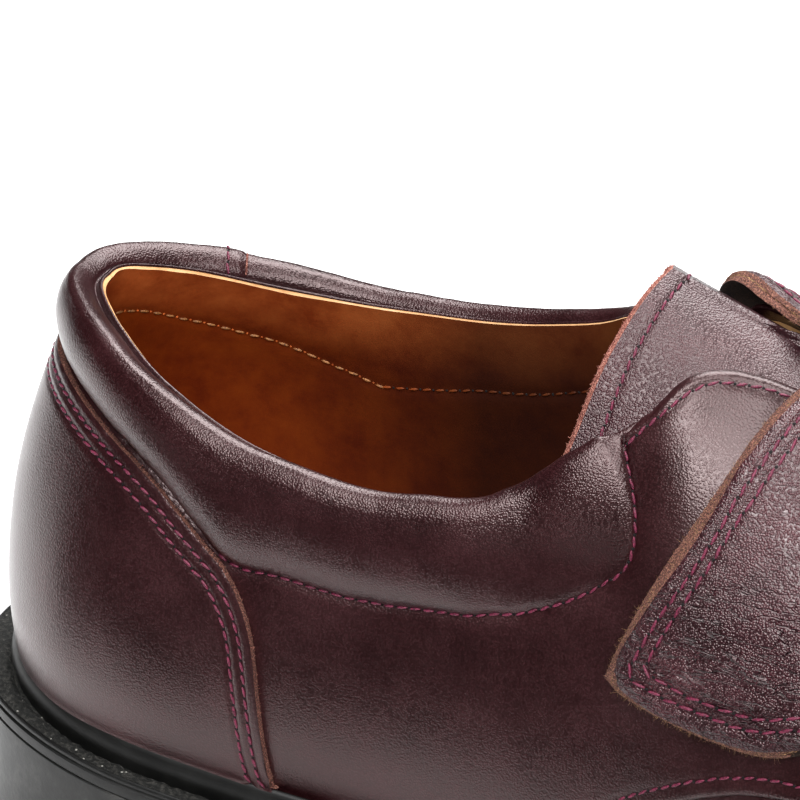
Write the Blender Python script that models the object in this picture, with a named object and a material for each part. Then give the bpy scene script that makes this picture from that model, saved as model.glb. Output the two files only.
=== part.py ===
"""Derby shoe, right foot: a leather upper on a moulded rubber unit sole, closed by one wide strap.

Toe +X, outer (lateral) side -Y, inner (medial) side +Y, up +Z, standing on z = 0, its origin under
the middle of the sole's box. Sizes in the tables are millimetres; meshes are made in metres.
Every leather piece is taken from one surface, the lasted form of the shoe. A place on that form is
given by "along", the distance from the heel's back to the foot of a rib on the feather line, and
"rise", the share of the rib's length from the feather line (0) to the topline or the ridge (1).
"""

import math

import bmesh
import bpy
import numpy as np

MM = 0.001
LATERAL = -1
MEDIAL = 1

# Driving sizes
LAST_LENGTH = 288.0
UPPER_WALL = 1.8
GAP = 0.3
OVERLAY_GAP = 0.45
TONGUE_GAP = 0.8
MERGE = 1e-5

# From here forward both sides end on one ridge, and the ridge is blended over this run
CLOSED_FROM = 125.0
CLOSED_RUN = 20.0

# Where the box's middle lies in the last's own frame
CENTRE_X = 144.0
CENTRE_Y = -0.8

# Welt and sole, measured outwards from the feather line and down from it
LASTED_DEPTH = 5.5
WELT_REACH = 5.6
WELT_INNER = -7.0
WELT_FOOT = 9.4
SHELF_DROP = LASTED_DEPTH + GAP
SOLE_TOP = WELT_FOOT + GAP
INSOLE_TOP = 2.6

# Heel and tread
RIM_WIDTH = 9.0
TREAD_DEPTH = 2.4
TREAD_SLOPE = 0.5

# Leather pieces
COUNTER_THICKNESS = 1.5
COUNTER_FOOT = 0.012
TONGUE_THICKNESS = 2.6
TONGUE_TUCK = 0.16
TONGUE_LOW = 0.46
TONGUE_REAR = 112.0
TONGUE_FRONT = 182.0
TONGUE_CLEAR = 0.03
TONGUE_TOP_LIFT = -1.2
TONGUE_DIP = 134.0
TONGUE_DIP_RUN = 6.0
STRAP_THICKNESS = 2.9

# The feather line, where the upper meets the welt: half widths each side of the long axis
FEATHER = (
    # along, lateral, medial, height
    (0.0, 0.0, 0.0, 33.5),
    (12.0, 25.5, 25.5, 31.9),
    (34.0, 34.2, 34.0, 28.6),
    (60.0, 34.4, 33.0, 24.9),
    (90.0, 33.6, 28.5, 21.5),
    (120.0, 35.6, 27.0, 19.0),
    (150.0, 41.0, 31.0, 17.4),
    (180.0, 46.3, 39.5, 16.6),
    (205.0, 47.6, 45.8, 16.6),
    (230.0, 44.6, 46.2, 17.8),
    (255.0, 36.0, 42.0, 20.6),
    (272.0, 24.5, 34.0, 23.4),
    (282.0, 12.5, 24.5, 25.2),
    (288.0, -6.0, 6.0, 26.0),
)

# Where the ribs end: the topline at the back, the tongue's top edge, then the ridge to the toe
TOP = (
    # along, top x, middle, half spread, lateral height, medial rise over the lateral height
    (0.0, 16.0, 0.0, 0.0, 99.2, 0.0),
    (6.0, 18.6, 0.0, 7.6, 98.7, -0.2),
    (16.0, 26.0, 0.0, 15.6, 97.0, -1.4),
    (34.0, 40.0, -0.2, 24.8, 92.4, -1.8),
    (60.0, 62.0, -0.8, 29.6, 85.6, 3.0),
    (90.0, 90.0, -1.0, 29.6, 83.2, 8.0),
    (104.0, 104.0, -1.2, 27.2, 86.0, 10.0),
    (112.0, 110.5, -1.0, 22.6, 92.5, 9.0),
    (120.0, 116.2, 0.6, 13.4, 109.6, 2.0),
    (124.0, 119.2, 1.4, 6.8, 116.4, 0.6),
    (128.0, 121.5, 2.0, 0.0, 119.6, 0.0),
    (150.0, 143.0, 2.2, 0.0, 112.2, 0.0),
    (180.0, 170.0, 3.0, 0.0, 95.5, 0.0),
    (205.0, 194.0, 4.0, 0.0, 77.5, 0.0),
    (230.0, 217.0, 5.0, 0.0, 65.5, 0.0),
    (255.0, 238.0, 6.0, 0.0, 58.5, 0.0),
    (276.0, 253.0, 6.4, 0.0, 54.5, 0.0),
    (288.0, 260.0, 6.5, 0.0, 52.5, 0.0),
)

# How a rib bulges past the feather line, how far it turns over (1 being a full quarter round), and
# how square that turn is (1 being an ellipse, less being fuller)
RIB = (
    # along, lateral swell, medial swell, turn, squareness
    (0.0, 1.2, 1.2, 0.62, 1.0),
    (12.0, 1.8, 1.8, 0.60, 1.0),
    (34.0, 2.8, 2.8, 0.58, 1.0),
    (60.0, 3.6, 2.6, 0.52, 1.0),
    (90.0, 3.8, 2.6, 0.52, 1.0),
    (120.0, 4.0, 2.8, 0.85, 1.0),
    (140.0, 3.6, 2.6, 1.0, 1.0),
    (180.0, 3.0, 2.4, 1.0, 0.97),
    (230.0, 2.2, 2.2, 1.0, 0.88),
    (288.0, 1.6, 1.6, 1.0, 0.84),
)

# The upper's cut edge: topline, rounded facing corner, then the edge beside the tongue
UPPER_EDGE = (
    # along, rise
    (0.0, 1.0),
    (104.0, 1.0),
    (108.0, 1.0),
    (112.0, 0.93),
    (115.7, 0.826),
    (120.0, 0.735),
    (124.0, 0.669),
    (128.5, 0.639),
    (133.2, 0.658),
    (136.9, 0.702),
    (141.9, 0.751),
    (146.7, 0.795),
    (153.5, 0.824),
    (165.0, 0.862),
    (176.0, 0.92),
    (186.0, 1.0),
)
THROAT = 186.0

# The padded collar between its lower seam and its upper edge; the crest stands over that edge
COLLAR = (
    # along, seam rise, edge rise, padding, lateral crest, medial crest
    (0.0, 0.795, 1.0, 4.6, -0.3, -0.3),
    (6.0, 0.795, 1.0, 4.9, -0.2, -0.5),
    (12.0, 0.79, 1.0, 5.3, 0.0, -0.5),
    (26.0, 0.775, 1.0, 5.6, 0.3, -0.3),
    (33.0, 0.76, 1.0, 5.6, 0.6, -0.4),
    (40.0, 0.732, 1.0, 5.5, 0.8, -0.5),
    (47.0, 0.682, 1.0, 5.4, 1.0, -0.5),
    (54.5, 0.625, 1.0, 5.3, 1.2, -0.5),
    (66.0, 0.639, 1.0, 5.2, 1.4, 0.1),
    (77.0, 0.645, 1.0, 5.2, 1.5, 0.7),
    (88.0, 0.649, 1.0, 5.0, 1.5, 1.0),
    (99.0, 0.639, 1.0, 4.6, 1.1, 1.0),
    (107.0, 0.605, 1.0, 4.0, 0.3, 0.6),
    (112.0, 0.56, 0.93, 3.4, -0.4, 0.0),
    (116.0, 0.50, 0.82, 2.8, -0.8, -0.4),
    (120.0, 0.456, 0.735, 2.2, -0.8, -0.6),
    (124.0, 0.43, 0.669, 1.7, -0.6, -0.6),
    (127.0, 0.422, 0.61, 1.3, -0.4, -0.4),
    (128.5, 0.424, 0.58, 1.0, -0.3, -0.3),
)

# The collar's section: share of the way up, share of the padding outwards, share of the crest
COLLAR_SECTION = (
    # up, out, crest
    (0.0, 0.18, 0.0),
    (0.12, 0.44, 0.0),
    (0.35, 0.78, 0.0),
    (0.62, 1.0, 0.0),
    (0.84, 1.0, 0.0),
    (0.97, 0.84, 0.7),
    (1.0, 0.54, 1.0),
    (1.0, 0.20, 0.8),
)

# The heel counter's top and front edge
COUNTER = (
    # along, rise
    (0.0, 0.785),
    (12.0, 0.78),
    (26.0, 0.765),
    (33.0, 0.75),
    (40.0, 0.722),
    (47.0, 0.672),
    (54.5, 0.61),
    (57.5, 0.56),
    (59.8, 0.50),
    (61.6, 0.42),
    (62.6, 0.29),
    (63.6, 0.13),
    (64.4, 0.02),
)

# The strap from its root on the medial side, over the ridge, to its tip on the lateral side
STRAP = (
    # rise past the ridge (medial positive), rear edge, front edge, lift at rear, near rear, front
    (0.585, 147.0, 183.0, 0.5, 0.5, 0.5),
    (0.57, 142.0, 187.0, 0.5, 0.5, 0.5),
    (0.54, 139.6, 189.0, 0.5, 0.5, 0.5),
    (0.46, 136.2, 190.0, 0.6, 0.6, 0.5),
    (0.38, 133.0, 190.0, 0.9, 0.8, 0.5),
    (0.30, 130.2, 190.0, 1.4, 1.2, 0.6),
    (0.24, 131.2, 189.5, 0.0, 0.8, 0.8),
    (0.18, 136.2, 189.0, -0.7, 0.6, 1.1),
    (0.12, 142.3, 188.5, -1.1, 0.4, 1.4),
    (0.06, 147.3, 188.0, -0.2, 0.7, 1.8),
    (0.0, 151.9, 187.5, 1.2, 1.5, 2.0),
    (-0.05, 156.0, 187.2, 2.5, 2.5, 2.1),
    (-0.10, 158.2, 187.0, 3.6, 3.4, 2.2),
    (-0.18, 156.5, 186.0, 4.2, 3.8, 2.2),
    (-0.28, 152.6, 184.5, 3.2, 3.0, 2.0),
    (-0.38, 148.6, 182.5, 2.4, 2.2, 1.6),
    (-0.48, 143.8, 179.5, 1.8, 1.7, 1.2),
    (-0.58, 137.8, 175.5, 1.4, 1.3, 1.0),
    (-0.66, 132.2, 171.0, 1.2, 1.1, 0.9),
    (-0.70, 129.4, 167.5, 1.1, 1.0, 0.9),
    (-0.735, 130.6, 163.0, 1.0, 1.0, 0.9),
)
STRAP_NEAR_REAR = 0.22

# The underside: height of the tread, or of the arch between heel and forefoot
UNDERSIDE = (
    # along, height
    (0.0, 0.0),
    (65.2, 0.0),
    (66.8, 12.6),
    (80.0, 9.6),
    (100.0, 6.6),
    (125.0, 3.2),
    (150.0, 0.8),
    (168.0, 0.0),
    (222.0, 0.0),
    (240.0, 1.6),
    (262.0, 5.4),
    (278.0, 9.0),
    (288.0, 11.6),
)

# Grooves between the lugs: where a run starts and ends, and how it repeats
TREAD = (
    # first groove, last groove, pitch, width
    (14.0, 52.0, 12.0, 4.0),
    (160.0, 252.0, 11.0, 4.0),
)

MATERIALS = {
    # name: (colour, roughness)
    "burgundy_leather": ((0.045, 0.012, 0.016, 1.0), 0.45),
    "burgundy_counter_leather": ((0.050, 0.014, 0.018, 1.0), 0.42),
    "burgundy_collar_leather": ((0.040, 0.011, 0.015, 1.0), 0.40),
    "burgundy_tongue_leather": ((0.048, 0.014, 0.020, 1.0), 0.45),
    "burgundy_strap_leather": ((0.052, 0.015, 0.021, 1.0), 0.42),
    "tan_sock_leather": ((0.480, 0.180, 0.045, 1.0), 0.55),
    "black_moulded_rubber": ((0.022, 0.021, 0.020, 1.0), 0.55),
    "black_welt_rubber": ((0.018, 0.017, 0.016, 1.0), 0.70),
}


def turn_of(along):
    """Angle that runs from 0 at the heel's back to pi at the toe, so that both ends close round."""
    return np.arccos(np.clip(1.0 - 2.0 * np.asarray(along, float) / LAST_LENGTH, -1.0, 1.0))


def curve_through(keys, values, at):
    """Smooth curve through the rows, with each slope taken from the rows beside it."""
    step = np.diff(keys)
    slope = np.diff(values) / step
    bend = np.empty_like(values)
    bend[1:-1] = (slope[1:] * step[:-1] + slope[:-1] * step[1:]) / (step[1:] + step[:-1])
    bend[0] = 1.5 * slope[0] - 0.5 * bend[1]
    bend[-1] = 1.5 * slope[-1] - 0.5 * bend[-2]
    row = np.clip(np.searchsorted(keys, at, side="right") - 1, 0, len(keys) - 2)
    t = (at - keys[row]) / step[row]
    rise = t * t * (3.0 - 2.0 * t)
    leave = t * (1.0 - t) ** 2 * step[row] * bend[row]
    arrive = t * t * (t - 1.0) * step[row] * bend[row + 1]
    return values[row] * (1.0 - rise) + values[row + 1] * rise + leave + arrive


def column(table, index, along):
    """A table's column at a place along the shoe, curved in the angle that closes both ends."""
    rows = np.array(table, float)
    return curve_through(turn_of(rows[:, 0]), rows[:, index], turn_of(along))


def straight(table, index, along):
    """A table's column with straight runs between its rows."""
    rows = np.array(table, float)
    return np.interp(along, rows[:, 0], rows[:, index])


def feather_line(along, side):
    """Across-shoe place of the feather line and its outward direction in plan."""
    width = 1 if side == LATERAL else 2
    angle = turn_of(along)
    before = np.clip(angle - 1e-3, 0.0, math.pi)
    after = np.clip(angle + 1e-3, 0.0, math.pi)
    x_before = LAST_LENGTH * (1.0 - np.cos(before)) / 2.0
    x_after = LAST_LENGTH * (1.0 - np.cos(after)) / 2.0
    run = x_after - x_before
    spread = column(FEATHER, width, x_after) - column(FEATHER, width, x_before)
    size = np.hypot(run, spread)
    return side * column(FEATHER, width, along), -spread / size, side * run / size


def lasted_form(along, rise, side):
    """Points of the upper's outer surface, in millimetres in the last's own frame."""
    along, rise = np.broadcast_arrays(np.asarray(along, float), np.asarray(rise, float))
    y, out_x, out_y = feather_line(along, side)
    foot = column(FEATHER, 3, along)
    top_x = column(TOP, 1, along)
    top_y = column(TOP, 2, along) + side * np.maximum(column(TOP, 3, along), 0.0)
    top_z = column(TOP, 4, along)
    if side == MEDIAL:
        least_rise = np.where(along < CLOSED_FROM, -TOP[0][4], 0.0)
        top_z = top_z + np.maximum(column(TOP, 5, along), least_rise)
    swell = column(RIB, 1 if side == LATERAL else 2, along)
    sweep = 0.5 * math.pi * column(RIB, 3, along)
    square = column(RIB, 4, along)
    left = np.clip(np.cos(sweep * rise), 0.0, 1.0) ** square
    least = np.clip(np.cos(sweep), 0.0, 1.0) ** square
    up = (np.sin(sweep * rise) / np.sin(sweep)) ** square
    over = (1.0 - left) / (1.0 - least)
    belly = np.sin(math.pi * np.clip(rise, 0.0, 1.0) ** 0.75) * (1.0 - 0.25 * rise)
    px = along + (top_x - along) * over + out_x * swell * belly
    py = y + (top_y - y) * over + out_y * swell * belly
    pz = foot + (top_z - foot) * up
    ahead = np.clip(along + 0.5, 0.0, LAST_LENGTH)
    behind = np.clip(along - 0.5, 0.0, LAST_LENGTH)
    fall = column(TOP, 4, ahead) - column(TOP, 4, behind)
    slope = fall / (column(TOP, 1, ahead) - column(TOP, 1, behind))
    closed = np.clip((along - CLOSED_FROM) / CLOSED_RUN, 0.0, 1.0)
    closed = closed * closed * (3.0 - 2.0 * closed)
    pz = pz + closed * np.clip(slope, -1.2, 0.2) * (px - top_x) * up**3
    return np.stack([px, py, pz], axis=-1)


def placed(points):
    """From the last's frame in millimetres to the part's own frame in metres."""
    return (np.asarray(points, float) - np.array([CENTRE_X, CENTRE_Y, 0.0])) * MM


def even_stations(first, last, count):
    """Places along the shoe, closer together near the heel's back and the toe."""
    angles = np.linspace(float(turn_of(first)), float(turn_of(last)), count)
    return LAST_LENGTH * (1.0 - np.cos(angles)) / 2.0


def opening_stations():
    """Stations round the opening, shared by the wall and the collar so that their facets match."""
    return np.concatenate([
        even_stations(0.0, 108.0, 15)[:-1],
        np.array([108.0, 112.0, 115.7, 118.0, 120.0, 122.0, 124.0, 126.0, 128.5]),
    ])


def upper_stations():
    """Stations of the upper's wall, which the welt follows too."""
    return np.concatenate([
        opening_stations(),
        np.array([133.2, 136.9, 141.9, 146.7, 153.5, 160.0, 168.0, 176.0]),
        even_stations(THROAT, LAST_LENGTH, 13),
    ])


def new_object(name, mesh_maker, material):
    """Link an object whose mesh the given bmesh becomes."""
    mesh = bpy.data.meshes.new(name)
    mesh_maker.to_mesh(mesh)
    mesh_maker.free()
    piece = bpy.data.objects.new(name, mesh)
    bpy.context.scene.collection.objects.link(piece)
    colour, roughness = MATERIALS[material]
    finish = bpy.data.materials.new(material)
    finish.use_nodes = True
    shader = finish.node_tree.nodes["Principled BSDF"]
    shader.inputs["Base Color"].default_value = colour
    shader.inputs["Roughness"].default_value = roughness
    mesh.materials.append(finish)
    mesh.shade_smooth()
    mesh.set_sharp_from_angle(angle=math.radians(40.0))
    return piece


def add_grid(maker, points, flip, lifts=None):
    """Add a grid of points as quads, turned over where flip is true, and note each point's lift."""
    layer = maker.verts.layers.float.get("lift") or maker.verts.layers.float.new("lift")
    rows, columns = points.shape[:2]
    verts = [[maker.verts.new(points[i, j]) for j in range(columns)] for i in range(rows)]
    for i in range(rows):
        for j in range(columns):
            verts[i][j][layer] = 0.0 if lifts is None else float(lifts[i, j])
    for i in range(rows - 1):
        for j in range(columns - 1):
            quad = [verts[i][j], verts[i + 1][j], verts[i + 1][j + 1], verts[i][j + 1]]
            maker.faces.new(reversed(quad) if flip else quad)


def raise_skin(maker):
    """Join a skin's halves and move every point along its normal by its own lift."""
    bmesh.ops.remove_doubles(maker, verts=maker.verts, dist=MERGE)
    maker.normal_update()
    layer = maker.verts.layers.float.get("lift")
    moves = [(vert, vert.normal * (vert[layer] * MM)) for vert in maker.verts]
    for vert, move in moves:
        vert.co += move


def skin(stations, low, high, rows, lift_at):
    """Open skin on the lasted form, both sides joined, lifted off it along its normals."""
    maker = bmesh.new()
    share = np.linspace(0.0, 1.0, rows + 1)
    rise = low[:, None] + (high - low)[:, None] * share[None, :]
    along = stations[:, None] + 0.0 * rise
    for side in (LATERAL, MEDIAL):
        points = lasted_form(along, rise, side)
        add_grid(maker, placed(points), side == MEDIAL, lift_at(along, rise))
    return maker


def thicken(piece, thickness, outwards):
    """Give an open skin its wall."""
    wall = piece.modifiers.new("Wall", "SOLIDIFY")
    wall.thickness = thickness * MM
    wall.offset = 1.0 if outwards else -1.0
    wall.use_even_offset = True
    wall.use_quality_normals = True
    wall.use_rim = True


def level(lift):
    """A lift that is the same everywhere."""
    return lambda along, rise: np.full_like(along, lift)


def make_upper():
    """The hollow upper: one wall from the feather line to the topline and down to the toe."""
    stations = upper_stations()
    edge = straight(UPPER_EDGE, 1, stations)
    maker = skin(stations, np.zeros_like(edge), edge, 9, level(0.0))
    add_lasted_edge(maker, stations)
    raise_skin(maker)
    piece = new_object("upper", maker, "burgundy_leather")
    thicken(piece, UPPER_WALL, outwards=False)
    return piece


def add_lasted_edge(maker, stations):
    """Carry the skin straight down from the feather line to the shelf behind the welt."""
    for side in (LATERAL, MEDIAL):
        y = feather_line(stations, side)[0]
        foot = column(FEATHER, 3, stations)
        upper_row = np.stack([stations, y, foot], axis=-1)
        lower_row = np.stack([stations, y, foot - LASTED_DEPTH], axis=-1)
        add_grid(maker, placed(np.stack([lower_row, upper_row], axis=1)), side == MEDIAL)


def make_counter():
    """The stiff heel cup, an overlay between the sole and the collar."""
    rows = np.array(COUNTER, float)
    shared = opening_stations()
    stations = np.concatenate([shared[shared < 52.0], rows[6:, 0]])
    top = straight(COUNTER, 1, stations)
    low = np.full_like(top, COUNTER_FOOT)
    maker = skin(stations, low, top, 7, level(OVERLAY_GAP))
    raise_skin(maker)
    piece = new_object("heel_counter", maker, "burgundy_counter_leather")
    thicken(piece, COUNTER_THICKNESS, outwards=True)
    return piece


def rib_frame(along, rise, side):
    """A point on the lasted form with its outward and upward directions."""
    step = 0.004
    spread = 0.4
    here = lasted_form(along, rise, side)
    up = lasted_form(along, rise, side) - lasted_form(along, rise - step, side)
    ahead = np.clip(along + spread, 0.0, LAST_LENGTH)
    behind = np.clip(along - spread, 0.0, LAST_LENGTH)
    forward = lasted_form(ahead, rise, side) - lasted_form(behind, rise, side)
    if along < spread:
        forward = np.array([0.0, float(side), 0.0])
    up = up / np.linalg.norm(up)
    out = np.cross(forward, up) * (1.0 if side == LATERAL else -1.0)
    return here, out / np.linalg.norm(out), up


def collar_section(along, side):
    """Closed loop of points round the padded collar at one station."""
    seam = float(straight(COLLAR, 1, along))
    edge = float(straight(COLLAR, 2, along))
    padding = float(straight(COLLAR, 3, along))
    crest = float(straight(COLLAR, 4 if side == LATERAL else 5, along))
    loop = []
    for up_share, out_share, crest_share in COLLAR_SECTION:
        rise = seam + (edge - seam) * up_share
        here, out, up = rib_frame(along, rise, side)
        loop.append(here + out * (OVERLAY_GAP + padding * out_share) + up * crest * crest_share)
    for up_share in (0.96, 0.66, 0.33, 0.0):
        rise = seam + (edge - seam) * up_share
        here, out, _ = rib_frame(along, rise, side)
        loop.append(here + out * OVERLAY_GAP)
    return loop


def make_collar():
    """The padded roll round the opening, from facing to facing."""
    stations = list(opening_stations())
    path = [(along, LATERAL) for along in reversed(stations)]
    path += [(along, MEDIAL) for along in stations[1:]]
    maker = bmesh.new()
    rings = []
    for along, side in path:
        rings.append([maker.verts.new(placed(point)) for point in collar_section(along, side)])
    count = len(rings[0])
    for here, there in zip(rings, rings[1:]):
        for k in range(count):
            n = (k + 1) % count
            maker.faces.new([here[k], there[k], there[n], here[n]])
    maker.faces.new(rings[0])
    maker.faces.new(list(reversed(rings[-1])))
    bmesh.ops.recalc_face_normals(maker, faces=maker.faces)
    return new_object("collar", maker, "burgundy_collar_leather")


def tongue_lift(along, rise):
    """Lift of the tongue's outer face: under the facings, but less deep at its top edge."""
    under = -(UPPER_WALL + TONGUE_GAP)
    edge = straight(UPPER_EDGE, 1, along)
    inwards = np.clip((rise - edge - TONGUE_CLEAR) / (1.0 - edge), 0.0, 1.0)
    back = np.clip((TONGUE_DIP - along) / TONGUE_DIP_RUN, 0.0, 1.0)
    return under + (TONGUE_TOP_LIFT - under) * inwards * back


def make_tongue():
    """The tongue, lying under both facings and showing at the top of the throat."""
    shared = upper_stations()
    stations = np.append(shared[(shared >= TONGUE_REAR) & (shared < TONGUE_FRONT)], TONGUE_FRONT)
    edge = straight(UPPER_EDGE, 1, stations)
    low = np.maximum(edge - TONGUE_TUCK, TONGUE_LOW)
    maker = skin(stations, low, np.ones_like(low), 7, tongue_lift)
    raise_skin(maker)
    piece = new_object("tongue", maker, "burgundy_tongue_leather")
    thicken(piece, TONGUE_THICKNESS, outwards=False)
    return piece


def make_strap():
    """The wide strap, rooted on the medial side and closed down on the lateral side."""
    rows = np.array(STRAP, float)
    share = np.linspace(0.0, 1.0, 9)
    maker = bmesh.new()
    for side in (LATERAL, MEDIAL):
        part = rows[rows[:, 0] * side >= 0.0]
        along = part[:, 1, None] + (part[:, 2] - part[:, 1])[:, None] * share[None, :]
        places = (0.0, STRAP_NEAR_REAR, 1.0)
        lifts = np.array([np.interp(share, places, row[3:6]) for row in part])
        rise = 1.0 - np.abs(part[:, 0])[:, None] + 0.0 * along
        add_grid(maker, placed(lasted_form(along, rise, side)), False, lifts)
    raise_skin(maker)
    piece = new_object("strap", maker, "burgundy_strap_leather")
    thicken(piece, STRAP_THICKNESS, outwards=True)
    return piece


def loop_points(stations, reach, down=0.0, height=None):
    """Both halves of a loop round the shoe, reach outside the feather line and down from it."""
    halves = []
    for side in (LATERAL, MEDIAL):
        y, out_x, out_y = feather_line(stations, side)
        x = stations + out_x * reach
        level = height if height is not None else foot_height(x) - down
        halves.append(np.stack([x, y + out_y * reach, level], axis=-1))
    return halves


def foot_height(x):
    """Height of the feather line at a place along the shoe, level past the heel and the toe."""
    return column(FEATHER, 3, np.clip(x, 0.0, LAST_LENGTH))


def join_rings(maker, rings):
    """Bridge consecutive closed rings of verts with quads."""
    for here, there in zip(rings, rings[1:]):
        count = len(here)
        for k in range(count):
            n = (k + 1) % count
            maker.faces.new([here[k], here[n], there[n], there[k]])


def ring_verts(maker, halves):
    """Verts of a closed ring: lateral heel to toe, then medial toe to heel."""
    lateral, medial = halves
    points = np.concatenate([lateral, medial[-2:0:-1]])
    return [maker.verts.new(placed(point)) for point in points]


def ladder(maker, ring, stations):
    """Close a ring with strips that run across the shoe."""
    last = len(stations) - 1
    count = len(ring)
    maker.faces.new([ring[0], ring[1], ring[count - 1]])
    for k in range(1, last - 1):
        maker.faces.new([ring[k], ring[k + 1], ring[count - k - 1], ring[count - k]])
    maker.faces.new([ring[last - 1], ring[last], ring[last + 1]])


def tread_stations():
    """Stations of the sole: even ones, plus both sides of every groove and of the heel breast."""
    marks = {65.2, 66.8}
    for first, last, pitch, width in TREAD:
        start = first
        while start <= last:
            marks.update((start, start + TREAD_SLOPE, start + width, start + width + TREAD_SLOPE))
            start += pitch
    free = [a for a in even_stations(0.0, LAST_LENGTH, 44) if all(abs(a - m) > 1.6 for m in marks)]
    return np.array(sorted(marks | set(float(a) for a in free)))


def groove_depth(stations):
    """How deep the tread is cut at each station."""
    depth = np.zeros_like(stations)
    for first, last, pitch, width in TREAD:
        start = first
        while start <= last:
            inside = (stations > start + 0.5 * TREAD_SLOPE) & (stations < start + width + 0.1)
            depth[inside] = TREAD_DEPTH
            start += pitch
    return depth


def make_outsole():
    """The moulded unit: footbed, wall, heel, arch, toe spring and the main lugs."""
    stations = tread_stations()
    under = straight(UNDERSIDE, 1, stations)
    lugs = under + groove_depth(stations)
    maker = bmesh.new()
    loops = [
        loop_points(stations, WELT_INNER - GAP, down=SHELF_DROP),
        loop_points(stations, WELT_INNER - GAP, down=SOLE_TOP),
        loop_points(stations, WELT_REACH - 0.8, down=SOLE_TOP),
        loop_points(stations, WELT_REACH + 0.2, down=SOLE_TOP + 0.8),
        loop_points(stations, WELT_REACH - 0.3, height=under + 1.0),
        loop_points(stations, WELT_REACH - 1.1, height=under),
        loop_points(stations, WELT_REACH - RIM_WIDTH, height=under),
        loop_points(stations, WELT_REACH - RIM_WIDTH - 0.4, height=lugs),
    ]
    rings = [ring_verts(maker, loop) for loop in loops]
    join_rings(maker, rings)
    ladder(maker, rings[0], stations)
    ladder(maker, rings[-1], stations)
    bmesh.ops.recalc_face_normals(maker, faces=maker.faces)
    return new_object("outsole", maker, "black_moulded_rubber")


def make_welt():
    """The storm welt: a flat edge outside, and a lip that stands up against the upper."""
    stations = upper_stations()
    section = (
        # outwards, down
        (WELT_INNER, WELT_FOOT),
        (WELT_REACH - 0.4, WELT_FOOT),
        (WELT_REACH, WELT_FOOT - 0.6),
        (WELT_REACH - 0.5, 6.6),
        (2.0, 5.4),
        (1.9, 1.2),
        (1.3, 0.2),
        (GAP + 0.15, 0.4),
        (GAP, SHELF_DROP - 0.6),
        (GAP - 0.6, SHELF_DROP),
        (WELT_INNER, SHELF_DROP),
    )
    maker = bmesh.new()
    rings = [ring_verts(maker, loop_points(stations, out, down=down)) for out, down in section]
    join_rings(maker, rings + rings[:1])
    bmesh.ops.recalc_face_normals(maker, faces=maker.faces)
    return new_object("welt", maker, "black_welt_rubber")


def make_insole():
    """The insole, lying on the footbed inside the upper."""
    stations = even_stations(0.0, LAST_LENGTH, 34)
    reach = -(UPPER_WALL + GAP + 0.2)
    maker = bmesh.new()
    rings = [
        ring_verts(maker, loop_points(stations, reach, down=INSOLE_TOP)),
        ring_verts(maker, loop_points(stations, reach, down=LASTED_DEPTH)),
    ]
    join_rings(maker, rings)
    ladder(maker, rings[0], stations)
    ladder(maker, rings[1], stations)
    bmesh.ops.recalc_face_normals(maker, faces=maker.faces)
    return new_object("insole", maker, "tan_sock_leather")


def main():
    """Clear the scene and make every piece."""
    for old in list(bpy.data.objects):
        bpy.data.objects.remove(old, do_unlink=True)
    make_outsole()
    make_welt()
    make_insole()
    make_upper()
    make_counter()
    make_collar()
    make_tongue()
    make_strap()


main()
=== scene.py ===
"""Looks of a right derby shoe: burgundy leather upper with a padded collar and one wide strap.

Every leather piece is cut from one surface, the lasted form. A place on it is "along", the distance
from the heel's back to the foot of a rib on the feather line in millimetres, and "rise", the share
of that rib's length up to the topline or the ridge. Sizes are millimetres until a mesh is made.
"""

import logging
import math
from collections.abc import Iterator
from contextlib import contextmanager
from dataclasses import dataclass
from enum import Enum

import bmesh
import bpy
import numpy as np
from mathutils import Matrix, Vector
from mathutils.bvhtree import BVHTree


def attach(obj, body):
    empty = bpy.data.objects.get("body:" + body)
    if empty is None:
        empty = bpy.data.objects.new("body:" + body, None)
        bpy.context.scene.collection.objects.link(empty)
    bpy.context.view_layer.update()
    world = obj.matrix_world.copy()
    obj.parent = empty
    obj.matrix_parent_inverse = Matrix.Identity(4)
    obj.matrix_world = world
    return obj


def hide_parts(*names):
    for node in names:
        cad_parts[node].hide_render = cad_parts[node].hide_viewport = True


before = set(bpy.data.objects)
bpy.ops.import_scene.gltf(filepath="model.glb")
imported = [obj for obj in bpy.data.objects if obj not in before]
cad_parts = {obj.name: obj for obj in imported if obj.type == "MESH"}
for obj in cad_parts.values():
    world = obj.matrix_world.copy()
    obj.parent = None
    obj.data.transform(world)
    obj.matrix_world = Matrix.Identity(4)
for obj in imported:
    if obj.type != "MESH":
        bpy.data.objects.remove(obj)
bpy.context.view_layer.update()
LOG = logging.getLogger("derby_shoe")

MM = 0.001
TOP_POINTS = 72  # points up a rib of the larger pieces
FOLD_ANGLE = 52.0  # degrees past which leather shows a sharp edge
ROW = (0.32, 0.55)  # depth and width of the trough a stitch row pulls into thick leather
TIGHT = 0.9  # how far the corners of an edge's table are eased, in millimetres
Array = np.ndarray
Rows = tuple[tuple[float, ...], ...]
Object = bpy.types.Object
Material = bpy.types.Material
NodeTree = bpy.types.NodeTree


class Side(Enum):
    """The two halves of the shoe, by the sign of their across-shoe direction."""

    LATERAL = -1
    MEDIAL = 1


class Rim(Enum):
    """How a piece of leather ends."""

    RAW = "cut and left raw"
    FOLDED = "folded under"


# --- the lasted form ---


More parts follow.
